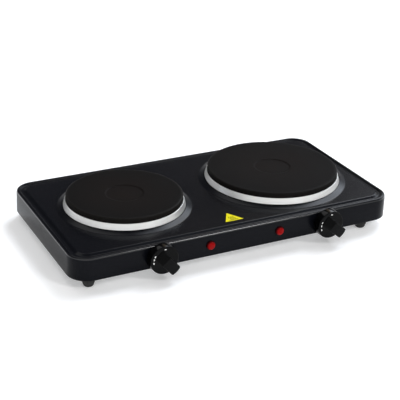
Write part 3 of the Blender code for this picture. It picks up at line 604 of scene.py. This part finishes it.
# %% Place the knobs and print their marks
MARK_RADIUS = 15.2 * MM
MARK_ANGLES = {
    "left": (88.6, 150.5, 165.9, 184.8),
    "right": (90, 158.5, 175.8, 197.7),
}
MARK_LENGTH = 2.7 * MM
MARK_WIDTH = 1.3 * MM
MARK_THICKNESS = 0.16 * MM
MARK_ROUND = 0.6 * MM
MARK_LIFT = 0.06 * MM
for side in SIDES:
    place = on_front(knob_axis[side])
    made = copy_of(knob, f"heat_knob_{side}", place @ Matrix.Rotation(GRIP_ANGLE[side], 4, "Z"))
    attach(made, f"knob_{side}")
    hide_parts(f"knob_{side}")
    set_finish(made, "black_plastic")
    marks = []
    for number, angle in enumerate(MARK_ANGLES[side]):
        select_only()
        bpy.ops.mesh.primitive_cube_add(size=1)
        bpy.context.object.scale = (MARK_WIDTH, MARK_LENGTH, MARK_THICKNESS)
        mark = named(f"mark_{number}")
        edit(mark)
        pick("EDGE", lambda edge: abs(edge.verts[0].co.z - edge.verts[1].co.z) > 0.1 * MM)
        bpy.ops.mesh.bevel(offset=MARK_ROUND, segments=5)
        select_only(mark)
        spin = Matrix.Rotation(radians(angle), 4, "Z")
        put(mark, place @ spin @ Matrix.Translation((MARK_RADIUS, 0, KNOB_FACE + MARK_LIFT)))
        marks.append(mark)
    select_only(*marks)
    bpy.ops.object.join()
    print_marks = done(bpy.context.object)
    print_marks.name = f"knob_marks_{side}"
    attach(print_marks, f"knob_{side}")
    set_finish(print_marks, "white_plastic")
bpy.data.objects.remove(knob, do_unlink=True)
print("knobs placed")

# %% [markdown]
# ## Lamps, feet, screws and gland
#
# These are small turned pieces. Each is made once and copied, and each copy keeps its own mesh so that it
# can be finished or worn on its own.

# %% Lamp lenses
LENS_RADIUS = 6.2 * MM
LENS_RISE = 4.2 * MM
LENS_RIM = 0.8 * MM
SHANK_LENGTH = 8 * MM
dome = []
for step in range(11):
    tilt = radians(9 * step)
    height = GAP + LENS_RIM + (LENS_RISE - LENS_RIM) * cos(tilt)
    dome.append(Vector((LENS_RADIUS * sin(tilt), height)))
lens_path = dome + rounded_path([
    (LENS_RADIUS, GAP, 0.2 * MM),
    (LAMP_SHANK, GAP),
    (LAMP_SHANK, -SHANK_LENGTH),
    (0, -SHANK_LENGTH),
])
lens = turned("lens_pattern", lens_path, steps=48, closed=False)
for side in SIDES:
    low, high = node_box(f"lamp_lens_{side}")
    place = Vector(((low.x + high.x) / 2, low.y + LENS_RISE + GAP, (low.z + high.z) / 2))
    made = copy_of(lens, f"red_lens_{side}", on_front(place))
    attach(made, "base")
    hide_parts(f"lamp_lens_{side}")
    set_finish(made, "red_lens")
bpy.data.objects.remove(lens, do_unlink=True)
print("lenses placed")

# %% [markdown]
# A foot tapers to a small tread. The head of the screw that holds it sits in a pocket, clear of the table.
# The head's cross is two bars cut away from it.

# %% Feet and their screws
FOOT_TOP = 8.7 * MM
FOOT_WAIST = 8.8 * MM
FOOT_TAPER = 6.6 * MM
FOOT_TREAD = 5.2 * MM
POCKET_RADIUS = 3.45 * MM
POCKET_DEPTH = 4 * MM
foot_hole = SCREW_RADIUS + HOLE_GAP
foot_height = node_box("foot_front_left")[1].z
foot_pattern = turned("foot_pattern", rounded_path([
    (foot_hole, foot_height),
    (FOOT_TOP, foot_height, 0.5 * MM),
    (FOOT_WAIST, 0.8 * foot_height, 1.5 * MM),
    (FOOT_TAPER, 0.12 * foot_height, 1.2 * MM),
    (FOOT_TREAD, 0, 0.4 * MM),
    (POCKET_RADIUS, 0, 0.3 * MM),
    (POCKET_RADIUS, POCKET_DEPTH, 0.2 * MM),
    (foot_hole, POCKET_DEPTH),
    (foot_hole, foot_height),
])[:-1], steps=48)

HEAD_RADIUS = 3.1 * MM
HEAD_FLAT = 1.8 * MM
HEAD_HEIGHT = 2.1 * MM
HEAD_CROWN = 0.4 * MM
SCREW_POINT = 1.5 * MM
CROSS_LENGTH = 3.4 * MM
CROSS_WIDTH = 0.8 * MM
CROSS_HEIGHT = 2.4 * MM
screw_low, screw_high = node_box("foot_screw_front_left")
screw_pattern = turned("screw_pattern", rounded_path([
    (0, screw_low.z),
    (HEAD_FLAT, screw_low.z),
    (HEAD_RADIUS, screw_low.z + HEAD_CROWN, 0.6 * MM),
    (HEAD_RADIUS, screw_low.z + HEAD_HEIGHT, 0.2 * MM),
    (SCREW_RADIUS, screw_low.z + HEAD_HEIGHT),
    (SCREW_RADIUS, screw_high.z - SCREW_POINT, 0.4 * MM),
    (0, screw_high.z),
]), steps=32, closed=False)
for angle in (0, pi / 2):
    select_only()
    bpy.ops.mesh.primitive_cube_add(size=1, location=(0, 0, screw_low.z), rotation=(0, 0, angle))
    bpy.context.object.scale = (CROSS_LENGTH, CROSS_WIDTH, CROSS_HEIGHT)
    cut(screw_pattern, named("cross"))
done(screw_pattern, 30)
for corner in corners:
    spot = middle(f"foot_{corner}")
    move = Matrix.Translation((spot.x, spot.y, 0))
    for pattern, name, node, finish in (
        (foot_pattern, f"rubber_foot_{corner}", f"foot_{corner}", "rubber"),
        (screw_pattern, f"cross_screw_{corner}", f"foot_screw_{corner}", "zinc_steel"),
    ):
        made = copy_of(pattern, name, move)
        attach(made, "base")
        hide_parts(node)
        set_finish(made, finish)
bpy.data.objects.remove(foot_pattern, do_unlink=True)
bpy.data.objects.remove(screw_pattern, do_unlink=True)
print("feet", len(corners))

# %% [markdown]
# The gland is one rubber turning with a neck that snaps into the wall: a collar outside, a barb inside, and
# the cord's hole through both. Its heights are counted from the outside of the wall.

# %% Cord gland
GLAND_RISE = 5 * MM
GLAND_DEPTH = 8.9 * MM
GLAND_BORE = 3.7 * MM
COLLAR_RADIUS = 9 * MM
BARB_RADIUS = 8.8 * MM
gland_path = rounded_path([
    (GLAND_BORE, GLAND_RISE, 0.3 * MM),
    (6.5 * MM, GLAND_RISE, 0.8 * MM),
    (7 * MM, 3 * MM, 0.6 * MM),
    (COLLAR_RADIUS, 2.4 * MM, 0.6 * MM),
    (COLLAR_RADIUS, GAP, 0.2 * MM),
    (GLAND_NECK, GAP),
    (GLAND_NECK, -SHEET - GAP),
    (BARB_RADIUS, -SHEET - GAP, 0.2 * MM),
    (BARB_RADIUS, -3.4 * MM, 0.6 * MM),
    (6.3 * MM, -GLAND_DEPTH, 0.5 * MM),
    (GLAND_BORE, -GLAND_DEPTH, 0.3 * MM),
    (GLAND_BORE, 4 * MM),
])
gland_place = Vector((gland.x, node_box("cord_gland")[1].y - GLAND_RISE, gland.z))
gland_piece = turned(
    "rubber_gland", gland_path[1:-1],
    Matrix.Translation(gland_place) @ Matrix.Rotation(-pi / 2, 4, "X"), 48,
)
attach(gland_piece, "base")
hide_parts("cord_gland")
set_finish(gland_piece, "rubber")
print("gland", gland_piece.dimensions)

# %% [markdown]
# ## Heat label
#
# A yellow foil triangle with softly rounded corners is stuck to the panel. Three wavy lines over a bar stand
# for heat that rises from a hot surface. They are drawn as curves, made into a mesh and flattened to a print.

# %% Foil and print
FOIL_RADIUS = 15.4 * MM
FOIL_ROUND = 0.8 * MM
FOIL_THICKNESS = 0.2 * MM
PRINT_LINE = 0.55 * MM
PRINT_FLATTEN = 0.15
WAVE_STEPS = 16
WAVE_GAP = 3 * MM
WAVE_SWING = 0.7 * MM
WAVE_LENGTH = 7 * MM
BAR_REACH = 6.5 * MM
BAR_DROP = 5.2 * MM
low, high = node_box("warning_label")
label_place = Vector(((low.x + high.x) / 2, low.y + (high.x - low.x) / 2 / sqrt(3), low.z))
select_only()
bpy.ops.mesh.primitive_circle_add(
    vertices=3, radius=FOIL_RADIUS, location=label_place, fill_type="NGON"
)
foil = named("label_foil")
edit(foil)
bpy.ops.mesh.select_all(action="SELECT")
bpy.ops.mesh.bevel(affect="VERTICES", offset=FOIL_ROUND, segments=4)
bpy.ops.mesh.select_all(action="SELECT")
bpy.ops.mesh.extrude_region_move(TRANSFORM_OT_translate={"value": (0, 0, FOIL_THICKNESS)})
bpy.ops.mesh.select_all(action="SELECT")
bpy.ops.mesh.normals_make_consistent(inside=False)
done(foil)
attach(foil, "base")
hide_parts("warning_label")
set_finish(foil, "yellow_label")

waves = bpy.data.curves.new("heat_waves", "CURVE")
waves.dimensions = "3D"
waves.bevel_depth = PRINT_LINE
waves.bevel_resolution = 2
waves.use_fill_caps = True
for row in (-1, 0, 1):
    spline = waves.splines.new("POLY")
    spline.points.add(WAVE_STEPS)
    for k, point in enumerate(spline.points):
        along = k / WAVE_STEPS
        x = label_place.x + row * WAVE_GAP + WAVE_SWING * sin(2 * pi * along)
        y = label_place.y + (along - 0.5) * WAVE_LENGTH
        point.co = (x, y, 0, 1)
bar = waves.splines.new("POLY")
bar.points.add(1)
for point, side in zip(bar.points, (-1, 1)):
    point.co = (label_place.x + side * BAR_REACH, label_place.y - BAR_DROP, 0, 1)
curve = bpy.data.objects.new("heat_waves", waves)
bpy.context.collection.objects.link(curve)
select_only(curve)
bpy.ops.object.convert(target="MESH")
wave_print = bpy.context.object
foil_top = Matrix.Translation((0, 0, label_place.z + FOIL_THICKNESS))
put(wave_print, foil_top @ Matrix.Diagonal((1, 1, PRINT_FLATTEN, 1)))
done(wave_print)
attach(wave_print, "base")
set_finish(wave_print, "black_plastic")
print("label at", tuple(round(v / MM, 1) for v in label_place))

# %% [markdown]
# ## Writing finishes as sums
#
# A finish is a tree of nodes. Written by hand, a simple sum takes a page, so one small class wraps a socket
# and lets Python's own signs add the Math nodes. Everything else goes through one method.

# %% Nodes as expressions


class Field:
    """A number that varies over a surface."""

    def __init__(self, finish, socket):
        self.finish = finish
        self.socket = socket

    def _math(self, operation, first, second):
        return self.finish.node("ShaderNodeMath", {"operation": operation}, {0: first, 1: second})

    def __add__(self, other):
        return self._math("ADD", self, other)

    def __radd__(self, other):
        return self._math("ADD", other, self)

    def __sub__(self, other):
        return self._math("SUBTRACT", self, other)

    def __mul__(self, other):
        return self._math("MULTIPLY", self, other)

    def __pow__(self, other):
        return self._math("POWER", self, other)


class Finish:
    """A material with one Principled shader, and short ways to build what feeds it."""

    def __init__(self, name, colour, roughness, metallic=0.0, **constants):
        self.material = bpy.data.materials.new(name)
        self.material.use_nodes = True
        self.tree = self.material.node_tree
        self.shader = self.tree.nodes["Principled BSDF"]
        self.feed("Base Color", (*colour, 1))
        self.feed("Roughness", roughness)
        self.feed("Metallic", metallic)
        for key, value in constants.items():
            self.feed(key.replace("_", " "), value)
        self.place = self.node("ShaderNodeTexCoord", output="Object")

    def node(self, kind, settings=None, inputs=None, output=0):
        """Adds any node, sets it up, and fills its sockets with values or links."""
        made = self.tree.nodes.new(kind)
        settings = dict(settings or {})
        stops = settings.pop("stops", None)
        for key, value in settings.items():
            setattr(made, key, value)
        if stops:
            ramp = made.color_ramp.elements
            while len(ramp) < len(stops):
                ramp.new(0.5)
            for element, (position, level) in zip(ramp, stops):
                element.position = position
                element.color = (level, level, level, 1)
        for key, value in (inputs or {}).items():
            self._fill(made.inputs[key], value)
        return Field(self, made.outputs[output])

    def _fill(self, socket, value):
        if isinstance(value, Field):
            self.tree.links.new(value.socket, socket)
        else:
            socket.default_value = value

    def feed(self, key, value):
        """Sets or links one socket of the shader."""
        self._fill(self.shader.inputs[key], value)

    def centred(self, centre, scale=(1, 1, 1)):
        """Object coordinates measured from a centre, stretched if asked."""
        offset = tuple(-c * s for c, s in zip(centre, scale))
        inputs = {"Vector": self.place, "Location": offset, "Scale": scale}
        return self.node("ShaderNodeMapping", None, inputs)

    def noise(self, scale, detail=3.0, roughness=0.5, place=None):
        """Cloudy noise; the scale is in features for each metre."""
        settings = {"noise_dimensions": "3D"}
        inputs = {"Vector": place or self.place, "Scale": scale, "Detail": detail, "Roughness": roughness}
        return self.node("ShaderNodeTexNoise", settings, inputs)

    def steps(self, value, *stops):
        """Maps a number through a ramp of (position, level) stops."""
        return self.node("ShaderNodeValToRGB", {"stops": stops}, {0: value})

    def tint(self, mask, colour, other):
        """Goes from one colour to another where the mask rises."""
        first = colour if isinstance(colour, Field) else (*colour, 1)
        second = other if isinstance(other, Field) else (*other, 1)
        return self.node("ShaderNodeMix", {"data_type": "RGBA"}, {0: mask, 6: first, 7: second}, 2)

    def relief(self, height, distance, strength=1.0):
        """Raises the surface by a height field."""
        bump = {"Height": height, "Distance": distance, "Strength": strength}
        self.feed("Normal", self.node("ShaderNodeBump", None, bump))

    def polar(self, centre):
        """Distance from a vertical axis, height, and angle round it from -0.5 to 0.5 of a turn."""
        parts = self.node("ShaderNodeSeparateXYZ", None, {0: self.centred(centre)})
        x = Field(self, parts.socket.node.outputs[0])
        y = Field(self, parts.socket.node.outputs[1])
        z = Field(self, parts.socket.node.outputs[2])
        distance = (x * x + y * y) ** 0.5
        angle = self.node("ShaderNodeMath", {"operation": "ARCTAN2"}, {0: y, 1: x}) * (0.5 / pi)
        return distance, z, angle

    def vector(self, x, y, z):
        """A vector made of three numbers."""
        return self.node("ShaderNodeCombineXYZ", None, {0: x, 1: y, 2: z})


# %% [markdown]
# ## Black enamel
#
# Stove enamel is deep black with a faint blue cast. It is glossy, but never a mirror: it flows into a fine
# orange peel, and handling leaves soft patches that shine a little less. A few specks of dust stay in it.
# The crest of the rim gets a clear coat, which catches a thin line of light.

# %% Enamel
CREST_OUTER = 1.5 * MM
CREST_INNER = 2.4 * MM
enamel = Finish("black_enamel", (0.003, 0.0034, 0.005), 0.22, IOR=1.17)
handled = enamel.noise(14, 4, 0.6)
specks = enamel.steps(enamel.noise(2600, 1, 0.4), (0.72, 0), (0.8, 1))
enamel.feed("Base Color", enamel.tint(specks * 0.5, (0.003, 0.0034, 0.0052), (0.02, 0.02, 0.022)))
enamel.feed("Roughness", 0.17 + handled * 0.1 + specks * 0.15)
beyond = []
for axis, half in ((0, half_x), (1, half_y)):
    across = enamel.node("ShaderNodeSeparateXYZ", None, {0: enamel.centred(body)}, axis)
    across = enamel.node("ShaderNodeMath", {"operation": "ABSOLUTE"}, {0: across})
    outside = across - (half - CORNER_RADIUS)
    beyond.append(enamel.node("ShaderNodeMath", {"operation": "MAXIMUM"}, {0: outside, 1: 0.0}))
from_corner = (beyond[0] * beyond[0] + beyond[1] * beyond[1]) ** 0.5
smoothly = {"interpolation_type": "SMOOTHSTEP"}
crest = enamel.node(
    "ShaderNodeMapRange", smoothly,
    {0: from_corner, 1: CORNER_RADIUS - CREST_INNER, 2: CORNER_RADIUS - CREST_OUTER},
)
level = enamel.node("ShaderNodeSeparateXYZ", None, {0: enamel.place}, 2)
top_edge = enamel.node(
    "ShaderNodeMapRange", smoothly, {0: level, 1: panel - 3 * MM, 2: panel - 2 * MM}
)
enamel.feed("Coat Weight", crest * top_edge)
enamel.feed("Coat Roughness", 0.12)
enamel.relief(enamel.noise(420, 2, 0.5) + specks * 0.4, 0.02 * MM, 0.5)
print("enamel nodes", len(enamel.tree.nodes))

# %% [markdown]
# ## Cast iron with a heat-proof coat
#
# The lathe leaves very fine rings, the casting leaves grain, and the coat turns brown where it gets
# hottest. The lip of the dish is browner and lighter, partly a tint and partly a painted highlight of its edge.
# The rim is worn, and the band round it is painted lighter as a painted highlight of its rounded shoulder. The
# rings follow the distance from the plate's own centre, so each plate has its own finish.

# %% Cast iron
iron = {}
for side, (centre, radius) in plates.items():
    coat = Finish(f"cast_iron_{side}", (0.006, 0.0055, 0.005), 0.6, IOR=1.1)
    distance, height, angle = coat.polar(centre)
    grooves = coat.noise(1, 2, 0.5, coat.vector(distance * 1500, height * 900, angle * 3))
    grain = coat.noise(900, 4, 0.65)
    clouds = coat.noise(22, 4, 0.55)
    heat = coat.steps(distance, (0.0, 1), (0.9 * radius, 0.2), (radius, 0))
    base = coat.tint(heat * clouds, (0.003, 0.0027, 0.0026), (0.0095, 0.0055, 0.0042))
    rim = coat.steps(distance, (radius - 3.2 * MM, 0), (radius - 1.2 * MM, 1))
    rim_wear_and_sheen = coat.steps(grain, (0.55, 0), (0.75, 1)) * rim
    # Partly a brown tint and partly a painted highlight: a lighter ring at the lip of the dish stands in for the
    # shine of its edge.
    lip = coat.steps(
        distance, (DISH_RADIUS - 1 * MM, 0), (DISH_RADIUS, 1), (DISH_RADIUS + 1.2 * MM, 0)
    )
    base = coat.tint(lip, base, (0.034, 0.02, 0.015))
    # Painted highlight: the rim band is lightened all round for the shine of the rounded shoulder; the grain
    # patches on it are wear, lightened further as painted sheen.
    coat.feed("Base Color", coat.tint(rim_wear_and_sheen * 0.4 + rim * 0.2, base, (0.035, 0.032, 0.029)))
    coat.feed("Roughness", 0.5 + grain * 0.12 + clouds * 0.1 - rim * 0.15)
    coat.relief(grooves * 0.7 + grain * 0.6, 0.04 * MM, 0.6)
    iron[side] = coat
print("iron finishes", list(iron))

# %% [markdown]
# ## Brushed stainless steel
#
# The trim ring is brushed as it spins, so its scratches run round it. A noise that hardly changes with the
# angle, and changes fast with the height, gives them and turns the light into long soft streaks.

# %% Stainless rings
stainless = {}
for side, (centre, radius) in plates.items():
    steel = Finish(f"stainless_{side}", (0.78, 0.78, 0.76), 0.36, 0.84)
    distance, height, angle = steel.polar(centre)
    brushing = steel.noise(1, 3, 0.6, steel.vector(distance * 5200, height * 5200, angle * 60))
    streaks = steel.noise(1, 2, 0.5, steel.vector(distance * 300, height * 300, angle * 24))
    steel.feed("Base Color", steel.tint(streaks, (0.75, 0.75, 0.735), (0.85, 0.85, 0.84)))
    steel.feed("Roughness", 0.3 + brushing * 0.12 + streaks * 0.06)
    steel.relief(brushing, 0.012 * MM, 0.5)
    stainless[side] = steel
print("ring finishes", list(stainless))

# %% [markdown]
# ## The other finishes
#
# Knobs are glossy thermoset plastic, lenses are tinted red with a painted glow at the tip of the dome and painted
# shade towards its edge, and feet are plain rubber. Hidden pieces get as real a finish as the visible ones,
# because someone may open the case.

# %% Plastics, rubber and paper
plastic = Finish("black_plastic", (0.001, 0.001, 0.0012), 0.1, IOR=1.18)
haze = plastic.noise(90, 4, 0.6)
plastic.feed("Base Color", plastic.tint(haze, (0.0006, 0.0006, 0.0007), (0.0016, 0.0016, 0.0018)))
plastic.feed("Roughness", 0.05 + haze * 0.08)
plastic.relief(plastic.noise(700, 2, 0.5), 0.01 * MM, 0.4)

lens_finish = Finish("red_lens", (0.2, 0.001, 0.002), 0.05, IOR=1.16)
depth = lens_finish.noise(260, 2, 0.5)
lens_tip = node_box("lamp_lens_left")[0].y
forward = lens_finish.node("ShaderNodeSeparateXYZ", None, {0: lens_finish.place}, 1)
height = lens_finish.node(
    "ShaderNodeMapRange", None, {0: forward, 1: lens_tip + LENS_RISE, 2: lens_tip + 0.2 * LENS_RISE}
)
# Painted glow and shade: the lens colour is painted bright at the tip of the dome and dark towards its edge.
painted_lens_glow = lens_finish.steps(height * 0.9 + depth * 0.15, (0.15, 0.02), (0.7, 0.22), (0.95, 1))
lens_finish.feed("Base Color", lens_finish.tint(painted_lens_glow, (0.02, 0.0003, 0.0006), (0.26, 0.0005, 0.001)))
lens_finish.feed("Roughness", 0.03 + depth * 0.05)
lens_finish.relief(depth, 0.03 * MM, 0.4)

rubber = Finish("rubber", (0.012, 0.012, 0.012), 0.8)
grain = rubber.noise(1600, 3, 0.6)
dust = rubber.steps(rubber.noise(60, 4, 0.6), (0.5, 0), (0.75, 1))
rubber.feed("Base Color", rubber.tint(dust * 0.4, (0.01, 0.01, 0.01), (0.035, 0.034, 0.032)))
rubber.feed("Roughness", 0.7 + grain * 0.2)
rubber.relief(grain, 0.05 * MM, 0.5)

foil_finish = Finish("yellow_label", (0.7, 0.62, 0.004), 0.4, IOR=1.15)
fibre = foil_finish.noise(1200, 3, 0.6)
foil_finish.feed("Base Color", foil_finish.tint(fibre, (0.66, 0.58, 0.003), (0.76, 0.69, 0.005)))
foil_finish.feed("Roughness", 0.36 + fibre * 0.12)
foil_finish.relief(fibre, 0.01 * MM, 0.3)

white = Finish("white_plastic", (0.78, 0.78, 0.75), 0.5)
mottle = white.noise(400, 3, 0.5)
white.feed("Base Color", white.tint(mottle, (0.72, 0.72, 0.69), (0.84, 0.84, 0.82)))
white.feed("Roughness", 0.42 + mottle * 0.15)
white.relief(mottle, 0.02 * MM, 0.3)

# %% [markdown]
# Zinc plating shows its crystals, brass shows how it was drawn, and ceramic is a little speckled. The
# element's sheath has scaled in the heat, and the leads wear a woven glass sleeve.

# %% Metals, ceramic and sleeving
zinc = Finish("zinc_steel", (0.55, 0.56, 0.57), 0.38, 1.0)
spangle = zinc.node(
    "ShaderNodeTexVoronoi", {"feature": "F1"}, {"Vector": zinc.place, "Scale": 110.0}, "Color"
)
crystal = zinc.node("ShaderNodeSeparateColor", None, {0: spangle})
cloud = zinc.noise(30, 4, 0.6)
zinc.feed("Base Color", zinc.tint(crystal, (0.46, 0.47, 0.48), (0.62, 0.63, 0.64)))
zinc.feed("Roughness", 0.28 + crystal * 0.14 + cloud * 0.12)
zinc.relief(zinc.noise(600, 3, 0.6), 0.02 * MM, 0.4)

brass = Finish("brass", (0.76, 0.56, 0.26), 0.3, 1.0)
drawn = brass.noise(1, 3, 0.6, brass.centred((0, 0, 0), (2600, 90, 2600)))
brass.feed("Base Color", brass.tint(drawn, (0.68, 0.48, 0.2), (0.82, 0.62, 0.32)))
brass.feed("Roughness", 0.22 + drawn * 0.2)
brass.relief(drawn, 0.01 * MM, 0.4)

ceramic = Finish("ceramic", (0.8, 0.78, 0.72), 0.6)
speckle = ceramic.noise(1300, 3, 0.6)
ceramic.feed("Base Color", ceramic.tint(speckle, (0.7, 0.68, 0.62), (0.86, 0.84, 0.8)))
ceramic.feed("Roughness", 0.55 + speckle * 0.2)
ceramic.relief(speckle, 0.03 * MM, 0.5)

sheath = Finish("element_sheath", (0.2, 0.17, 0.15), 0.5, 0.8)
scale = sheath.noise(500, 5, 0.65)
sheath.feed("Base Color", sheath.tint(scale, (0.12, 0.1, 0.09), (0.3, 0.24, 0.2)))
sheath.feed("Roughness", 0.4 + scale * 0.3)
sheath.relief(scale, 0.04 * MM, 0.6)

sleeve = Finish("lead_cover", (0.55, 0.54, 0.5), 0.75)
weave = sleeve.node(
    "ShaderNodeTexWave", {"wave_type": "BANDS", "bands_direction": "DIAGONAL"},
    {"Vector": sleeve.place, "Scale": 420.0, "Distortion": 1.5, "Detail": 2.0}, "Fac",
)
sleeve.feed("Base Color", sleeve.tint(weave, (0.42, 0.41, 0.37), (0.66, 0.65, 0.6)))
sleeve.feed("Roughness", 0.65 + weave * 0.2)
sleeve.relief(weave, 0.15 * MM, 0.6)

# %% [markdown]
# ## Dressing every piece
#
# New pieces and carried-over ones take the finish that the record names for them. Plates and rings take the
# finish that is centred on their own side.

# %% Assign the finishes
by_slot = {
    "black_enamel": enamel,
    "zinc_steel": zinc,
    "black_plastic": plastic,
    "red_lens": lens_finish,
    "white_plastic": white,
    "ceramic": ceramic,
    "brass": brass,
    "rubber": rubber,
    "yellow_label": foil_finish,
    "element_sheath": sheath,
    "lead_cover": sleeve,
}
slot_of = {row["node"]: row["material_slot"] for row in frame["record"]["subparts"]}


def dress(piece, slot):
    """Gives a piece its one finish."""
    side = "left" if "left" in piece.name else "right"
    if slot == "cast_iron":
        finish = iron[side]
    elif slot == "stainless":
        finish = stainless[side]
    else:
        finish = by_slot[slot]
    if not piece.material_slots:
        piece.data.materials.append(None)
    for holder in piece.material_slots:
        holder.material = finish.material


for node, piece in frame["nodes"].items():
    dress(piece, slot_of[node])
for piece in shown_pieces():
    if "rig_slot" in piece:
        dress(piece, piece["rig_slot"])

# %% [markdown]
# ## Floor and light
#
# A white floor runs out of sight and glows a little, as a light table does, so its shadows stay pale. Two
# lamps light it: a key lamp from the front right, and a wider, softer one from above and behind.

# %% Floor and soft light
FLOOR_SIZE = 12
select_only()
bpy.ops.mesh.primitive_plane_add(size=FLOOR_SIZE, location=(0, 2, 0))
floor = named("floor")
paper = Finish("floor_paper", (0.9, 0.9, 0.9), 0.9, Emission_Strength=0.24)
paper.feed("Emission Color", (1, 1, 1, 1))
paper.feed("Roughness", 0.85 + paper.noise(3, 2, 0.5) * 0.1)
floor.data.materials.append(paper.material)

for name, energy, angle, come_from in (
    ("key_light", 0.72, 12, (0.42, -0.62, 0.66)),
    ("back_light", 0.6, 34, (-0.1, 0.5, 0.86)),
):
    lamp = bpy.data.objects.new(name, bpy.data.lights.new(name, "SUN"))
    bpy.context.collection.objects.link(lamp)
    lamp.data.energy = energy
    lamp.data.angle = radians(angle)
    lamp.rotation_euler = Vector(come_from).to_track_quat("Z", "Y").to_euler()
print("floor and lamps")

# %% [markdown]
# The surroundings do the rest of a studio's work. The room is dark, which keeps the black panel black, and
# seven cards stand in it: a dim one overhead, a wide one in front for the steel rings, the white table below
# and round the horizon, two bright soft boxes and a small warm one at the right rear for the sheen on the
# enamel, and a plain one at the right end.

# %% Surroundings
# Each card is a direction, how far it spreads (as the cosine at its edge and at its full brightness),
# and its colour.
ROOM = (0.1, 0.1, 0.11)
CARDS = (
    ((0, 0, 1), 0.62, 0.95, (0.2, 0.2, 0.2)),
    ((-0.35, -0.92, 0.18), 0.25, 0.8, (0.62, 0.63, 0.62)),
    ((0, 0, -1), -0.3, -0.08, (0.8, 0.8, 0.8)),
    ((0.66, 0.45, 0.6), 0.95, 0.98, (6.0, 6.5, 7.2)),
    ((0.47, 0.32, 0.82), 0.965, 0.99, (5.4, 5.7, 6.2)),
    ((0.46, 0.6, 0.65), 0.97, 0.995, (1.5, 1.25, 0.9)),
    ((0.97, 0.05, 0.1), 0.75, 0.95, (0.6, 0.6, 0.6)),
)
world = bpy.data.worlds.new("studio")
bpy.context.scene.world = world
world.use_nodes = True
sky = world.node_tree
backdrop = sky.nodes["Background"]
direction = sky.nodes.new("ShaderNodeTexCoord")
total = sky.nodes.new("ShaderNodeRGB")
total.outputs[0].default_value = (*ROOM, 1)
light_sum = total.outputs[0]
for heading, edge, full, colour in CARDS:
    facing = sky.nodes.new("ShaderNodeVectorMath")
    facing.operation = "DOT_PRODUCT"
    facing.inputs[1].default_value = Vector(heading).normalized()
    sky.links.new(direction.outputs["Generated"], facing.inputs[0])
    spread = sky.nodes.new("ShaderNodeMapRange")
    spread.interpolation_type = "SMOOTHSTEP"
    spread.inputs["From Min"].default_value = edge
    spread.inputs["From Max"].default_value = full
    sky.links.new(facing.outputs["Value"], spread.inputs["Value"])
    card = sky.nodes.new("ShaderNodeMix")
    card.data_type = "RGBA"
    card.blend_type = "ADD"
    card.inputs[7].default_value = (*colour, 1)
    sky.links.new(spread.outputs[0], card.inputs[0])
    sky.links.new(light_sum, card.inputs[6])
    light_sum = card.outputs[2]
sky.links.new(light_sum, backdrop.inputs["Color"])
backdrop.inputs["Strength"].default_value = 1.0
bpy.context.scene.view_settings.view_transform = "Standard"
print("cards", len(CARDS))
